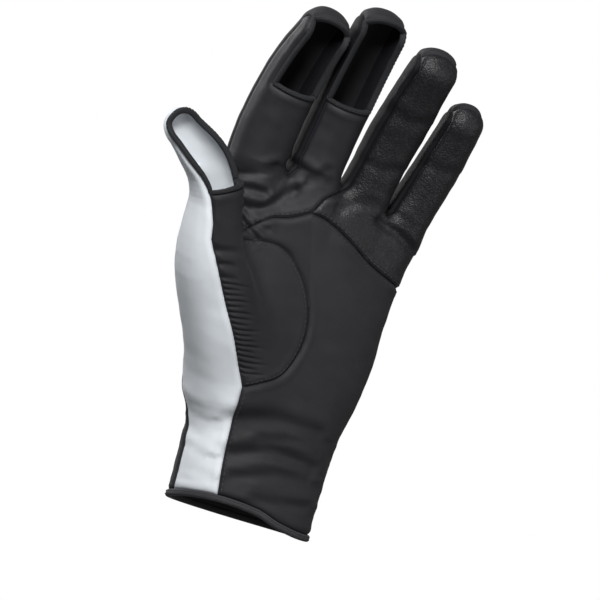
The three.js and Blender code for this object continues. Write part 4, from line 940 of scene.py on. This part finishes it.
def cloth(name, dark, light, rough, sheen, grain, weave, depth, gloss=0.25):
    """Woven or knitted cloth: colour and roughness wander between two values, and the bump is the
    product of waves along and across the piece's own lengths plus pores, under a soft fuzz."""
    material, tree, shader = nodes_of(name)
    add, link = tree.nodes.new, tree.links.new
    place = add("ShaderNodeTexCoord")
    loom = add("ShaderNodeUVMap")
    loom.uv_map = "loom"
    broad = add("ShaderNodeTexNoise")
    broad.inputs["Scale"].default_value = TONE_SCALE
    broad.inputs["Detail"].default_value = TONE_DETAIL
    link(place.outputs["Object"], broad.inputs["Vector"])
    tone = add("ShaderNodeValToRGB")
    tone.color_ramp.elements[0].position, tone.color_ramp.elements[0].color = 0.3, (*dark, 1)
    tone.color_ramp.elements[1].position, tone.color_ramp.elements[1].color = 0.72, (*light, 1)
    link(broad.outputs["Fac"], tone.inputs["Fac"])
    link(tone.outputs["Color"], shader.inputs["Base Color"])
    across, along = add("ShaderNodeTexWave"), add("ShaderNodeTexWave")
    for wave, way in ((across, "X"), (along, "Y")):
        wave.bands_direction = way
        wave.inputs["Scale"].default_value = weave
        wave.inputs["Distortion"].default_value = THREAD_WANDER
        link(loom.outputs["UV"], wave.inputs["Vector"])
    knit = add("ShaderNodeMath")
    knit.operation = "MULTIPLY"
    link(across.outputs["Fac"], knit.inputs[0])
    link(along.outputs["Fac"], knit.inputs[1])
    pores = add("ShaderNodeTexVoronoi")
    pores.inputs["Scale"].default_value = grain
    link(place.outputs["Object"], pores.inputs["Vector"])
    both = add("ShaderNodeMath")
    both.operation = "MULTIPLY_ADD"
    both.inputs[1].default_value = PORE_SHARE
    link(pores.outputs["Distance"], both.inputs[0])
    link(knit.outputs["Value"], both.inputs[2])
    bump = add("ShaderNodeBump")
    bump.inputs["Strength"].default_value = 0.55
    bump.inputs["Distance"].default_value = depth
    link(both.outputs["Value"], bump.inputs["Height"])
    link(bump.outputs["Normal"], shader.inputs["Normal"])
    level = add("ShaderNodeMapRange")
    level.inputs["To Min"].default_value = rough - 0.08
    level.inputs["To Max"].default_value = rough + 0.1
    link(broad.outputs["Fac"], level.inputs["Value"])
    link(level.outputs["Result"], shader.inputs["Roughness"])
    shader.inputs["Specular IOR Level"].default_value = gloss
    shader.inputs["Sheen Weight"].default_value = sheen
    shader.inputs["Sheen Roughness"].default_value = 0.45
    shader.inputs["Sheen Tint"].default_value = (0.86, 0.9, 1.0, 1)
    return material


def leather(name, dark, light, rough, grain, depth, gloss):
    """Grained synthetic leather: pebbles from cell distances at two scales, darker between."""
    material, tree, shader = nodes_of(name)
    add, link = tree.nodes.new, tree.links.new
    place = add("ShaderNodeTexCoord")
    pebbles, creases = add("ShaderNodeTexVoronoi"), add("ShaderNodeTexNoise")
    pebbles.inputs["Scale"].default_value = grain
    creases.inputs["Scale"].default_value = grain * CREASE_SHARE
    creases.inputs["Detail"].default_value = 8.0
    link(place.outputs["Object"], pebbles.inputs["Vector"])
    link(place.outputs["Object"], creases.inputs["Vector"])
    both = add("ShaderNodeMath")
    both.operation = "MULTIPLY_ADD"
    both.inputs[1].default_value = PEBBLE_SHARE
    link(pebbles.outputs["Distance"], both.inputs[0])
    link(creases.outputs["Fac"], both.inputs[2])
    tone = add("ShaderNodeValToRGB")
    tone.color_ramp.elements[0].position, tone.color_ramp.elements[0].color = 0.1, (*dark, 1)
    tone.color_ramp.elements[1].position, tone.color_ramp.elements[1].color = 0.6, (*light, 1)
    link(both.outputs["Value"], tone.inputs["Fac"])
    link(tone.outputs["Color"], shader.inputs["Base Color"])
    bump = add("ShaderNodeBump")
    bump.inputs["Strength"].default_value = 0.6
    bump.inputs["Distance"].default_value = depth
    link(both.outputs["Value"], bump.inputs["Height"])
    link(bump.outputs["Normal"], shader.inputs["Normal"])
    shader.inputs["Roughness"].default_value = rough
    shader.inputs["Specular IOR Level"].default_value = gloss
    return material


palm_cloth = cloth("palm_cloth", (0.0080, 0.0077, 0.0092), (0.0145, 0.0140, 0.0162), 0.55, 0.02,
                   2200, 0.9, 0.00010, 0.22)
back_cloth = cloth("back_cloth", (0.0090, 0.0088, 0.0105), (0.0130, 0.0125, 0.0150), 0.65, 0.02,
                   2400, 0.8, 0.00014)
stretch_cloth = cloth("stretch_cloth", (0.0050, 0.0050, 0.0068), (0.0090, 0.0090, 0.0118), 0.5,
                      0.02, 2600, 1.0, 0.00010, 0.3)
# The gussets' cloth is the stretch cloth made darker: painted shade for the shade that falls
# between the fingers.
gusset_painted_shade_cloth = cloth("gusset_painted_shade_cloth", (0.0030, 0.0030, 0.0040), (0.0050, 0.0050, 0.0064), 0.6,
                     0.01, 2600, 1.0, 0.00010, 0.15)
grained_leather = leather("grained_leather", (0.0055, 0.0053, 0.0066), (0.0190, 0.0185, 0.0215),
                          0.48, 1300, 0.00036, 0.26)
grey_cloth = cloth("grey_cloth", (0.48, 0.505, 0.53), (0.57, 0.60, 0.63), 0.75, 0.05,
                   2200, 0.8, 0.00012)
tape_cloth = cloth("tape_cloth", (0.0070, 0.0072, 0.0085), (0.0125, 0.0130, 0.0150), 0.6, 0.03,
                   2600, 1.1, 0.00016)
cuff_cloth = cloth("cuff_cloth", (0.020, 0.019, 0.022), (0.034, 0.032, 0.036), 0.6, 0.03,
                   2600, 1.1, 0.00016)
thread_finish = cloth("thread", (0.016, 0.016, 0.018), (0.030, 0.030, 0.034), 0.6, 0.05,
                      3000, 1.6, 0.00005)


# Panels

def cuff_line(start, end, count):
    """Points along the cuff's edge at even turns."""
    return on_cuff(np.linspace(start, end, count + 1))


oval = thumb_seam[::2]
inner_line = seam([oval[OVAL_CORNER], JOIN], 4 * FINE)
palm_left = joined(wrist_seam, oval[:OVAL_CORNER + 1], inner_line)
palm_low = fill(cuff_line(GREY_FRONT, ULNAR, PALM_TOP), low_seam, palm_left,
                seam(ulnar_low, len(palm_left) - 1))
tip_edge = oval[OVAL_CORNER:]
palm_corner = fill(inner_line, np.repeat(web_front[None], len(inner_line), 0), tip_edge,
                   seam(high_seam[::-1], len(tip_edge) - 1))
panel = sew("palm_panel_cloth", palm_cloth, [palm_low, palm_corner])
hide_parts("palm_panel")

ball = fill(np.repeat(WRIST_CORNER[None], BALL_COLUMNS + 1, 0), ball_top, grey_seam, thumb_seam,
            6)
panel = sew("thumb_front_cloth", palm_cloth,
            [np.concatenate([front_web_row[None], front_band]), ball])
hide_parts("thumb_front_panel")

side_left = joined(wrist_seam, grey_seam[::4])
side_low = fill(cuff_line(GREY_FRONT, GREY_BACK, GREY_LOW), grey_top, side_left,
                seam(back_low, len(side_left) - 1))
panel = sew("side_panel_cloth", grey_cloth,
            [np.concatenate([grey_web_row[None], grey_band]), side_low])
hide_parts("side_panel")

back_top = joined(*[finger.back_base for finger in FINGERS])
back_left = joined(back_low, radial)
back_low_patch = fill(cuff_line(GREY_BACK, ULNAR - 360, len(back_top) - 1), back_top, back_left,
                 seam(joined(ulnar_low, ulnar_high), len(back_left) - 1), 2)
panel = sew("back_panel_cloth", back_cloth,
            [back_low_patch] + [finger.back for finger in FINGERS])
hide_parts("back_panel")

front_top = joined(index.front_base, middle.front_base)
web_line = thumb_web[::-1]
index_palm = fill(joined(web_line, seam(high_seam, len(front_top) - len(web_line))), front_top,
                  radial, seam(middle_ring[::-1], WEB_SEAM))
panel = sew("index_middle_cloth", stretch_cloth,
            [index_palm, index.front, middle.front, index_wing])
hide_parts("index_middle_front")

ring_top = joined(ring.front_base, little.front_base)
ring_palm = fill(seam(low_seam, len(ring_top) - 1), ring_top, seam(middle_ring[::-1], WEB_SEAM),
                 ulnar_high)
panel = sew("ring_little_leather", grained_leather,
            [ring_palm, ring.front, little.front])
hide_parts("ring_little_front")

# The gussets between the fingers take the darker cloth, which is painted shade.
for node, left, right, web in (("index_middle_gusset", index, middle, WEBS[0]),
                               ("middle_ring_gusset", middle, ring, WEBS[1]),
                               ("ring_little_gusset", ring, little, WEBS[2])):
    down = left.side(left.front_right, left.back_right, WEB_POINTS)[::-1]
    up = right.side(right.front_left, right.back_left, WEB_POINTS)
    panel = sew(node + "_cloth", gusset_painted_shade_cloth,
                [np.concatenate([down, web[None], up])])
    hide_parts(node)

for name, slot, line, aside in (
        ("palm_seam_thread", "palm_cloth", low_seam, 1.5),
        ("palm_seam_low_thread", "palm_cloth", low_seam, -1.5),
        ("thumb_seam_thread", "palm_cloth", thumb_seam, 1.4),
        ("index_seam_thread", "stretch_cloth", high_seam, 1.4),
        ("wrist_seam_thread", "palm_cloth", wrist_seam, -1.4)):
    topstitch(name, slot, thread_finish, line, aside)


# Tapes round the openings and the cuff: each with a point inside its opening, which tells on
# which side of the cloth's edge the tape lies, and the places of its stitches across

def loop(low, right, lip, left):
    """A closed line round an opening: up the right, back along the lip and down the left."""
    return joined(low, right, lip[::-1], left[::-1])[1:]


index_right = index.front_right
index_loop = loop(index.front[index.open_row + 1][WING_COLUMNS:],
                  index.side(index_right, index_right, 1)[index.open_row:, 0],
                  index.back[-1], index_wing[:, WING_COLUMNS])
middle_loop = loop(middle.front[middle.open_row + 1],
                   middle.side(middle.front_right, middle.front_right, 1)[middle.open_row:, 0],
                   middle.back[-1],
                   middle.side(middle.front_left, middle.front_left, 1)[middle.open_row:, 0])
hood_rows = grey_band[open_row:]
thumb_loop = loop(front_band[open_row], hood_rows[:, -1], hood_rows[-1], hood_rows[:, 0])
cuff_loop = on_cuff(ULNAR - np.arange(1, 145) * 2.5)
for node, line, width, opening, finish, dips in (
        ("thumb_binding", thumb_loop, TAPE_WIDTH, on_digit(THUMB, 20, mix(THUMB_OPEN, 1, 0.6)),
         tape_cloth, (0,)),
        ("index_binding", index_loop, TAPE_WIDTH, on_digit(INDEX, 0, 0.84), tape_cloth, (0,)),
        ("middle_binding", middle_loop, TAPE_WIDTH, on_digit(MIDDLE, 0, 0.824), tape_cloth, (0,)),
        ("cuff_binding", cuff_loop, CUFF_TAPE, np.array([0, 0, -400.0]), cuff_cloth,
         (-0.5, 0.45))):
    piece = tape(node + "_tape", line, width, opening, finish, dips)
    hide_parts(node)


# Floor, light and camera

FLOOR_HALF, FLOOR_HEIGHT, FLOOR_GLOW = 5.0, -0.35, 0.78
STUDIO_LIGHT, STUDIO_SEEN = 0.2, 1.0
CAMERA_TURN, CAMERA_ROLL = math.radians(-22), math.radians(15)
CAMERA_FAR, BREADTH_SEEN, SENSOR = 6.0, 0.258, 36


def studio_floor():
    """A plain pale square well below the glove, which is held up. It glows a little and throws no
    light back, so that it is as pale as the studio and the cloth stays dark."""
    mesh = bpy.data.meshes.new("floor")
    mesh.from_pydata([(x * FLOOR_HALF, y * FLOOR_HALF, FLOOR_HEIGHT)
                      for x, y in ((-1, -1), (1, -1), (1, 1), (-1, 1))], [], [(0, 1, 2, 3)])
    floor = bpy.data.objects.new("floor", mesh)
    material, _, shader = nodes_of("floor_paper")
    shader.inputs["Base Color"].default_value = (0.85, 0.85, 0.86, 1)
    shader.inputs["Roughness"].default_value = 0.9
    shader.inputs["Emission Color"].default_value = (1.0, 1.0, 1.0, 1)
    shader.inputs["Emission Strength"].default_value = FLOOR_GLOW
    floor.visible_diffuse = floor.visible_glossy = False
    mesh.materials.append(material)
    bpy.context.scene.collection.objects.link(floor)


def soft_light(name, place, target, size, power):
    """A square soft light that faces the target."""
    data = bpy.data.lights.new(name, "AREA")
    data.shape, data.size, data.energy = "SQUARE", size, power
    light = bpy.data.objects.new(name, data)
    light.location = place
    light.rotation_euler = (Vector(target) - Vector(place)).to_track_quat("-Z", "Y").to_euler()
    bpy.context.scene.collection.objects.link(light)


studio_floor()
glove_middle = (0.0, -0.01, 0.11)
soft_light("key", (-0.5, -0.8, 0.75), glove_middle, 0.4, 20.0)
soft_light("fill", (0.7, -0.95, 0.2), glove_middle, 0.9, 5.0)
soft_light("back", (-0.55, 0.85, 0.6), glove_middle, 0.7, 9.0)

# The studio is white to the camera and dimmer as a light
world = bpy.data.worlds.new("studio")
world.use_nodes = True
studio = world.node_tree
sky, seen = studio.nodes["Background"], studio.nodes.new("ShaderNodeLightPath")
strength = studio.nodes.new("ShaderNodeMapRange")
strength.inputs["To Min"].default_value = STUDIO_LIGHT
strength.inputs["To Max"].default_value = STUDIO_SEEN
studio.links.new(seen.outputs["Is Camera Ray"], strength.inputs["Value"])
studio.links.new(strength.outputs["Result"], sky.inputs["Strength"])
sky.inputs["Color"].default_value = (1.0, 1.0, 1.0, 1)
bpy.context.scene.world = world
bpy.context.scene.view_settings.view_transform = "Standard"

# The camera looks level from the palm side and a little from the thumb side, rolled so that the
# glove leans to the right.
level = Vector((math.cos(CAMERA_TURN), math.sin(CAMERA_TURN), 0))
onward = Vector((-math.sin(CAMERA_TURN), math.cos(CAMERA_TURN), 0))
right = level * math.cos(CAMERA_ROLL) + Vector((0, 0, math.sin(CAMERA_ROLL)))
upward = right.cross(onward)
aim = level * 0.0008 + Vector((0, 0, 0.0968))
lens = bpy.data.cameras.new("camera")
lens.sensor_width = SENSOR
lens.lens = SENSOR * CAMERA_FAR / BREADTH_SEEN
camera = bpy.data.objects.new("camera", lens)
camera.matrix_world = Matrix.Translation(aim - onward * CAMERA_FAR) @ Matrix(
    (right, upward, -onward)).transposed().to_4x4()
bpy.context.scene.collection.objects.link(camera)
bpy.context.scene.camera = camera
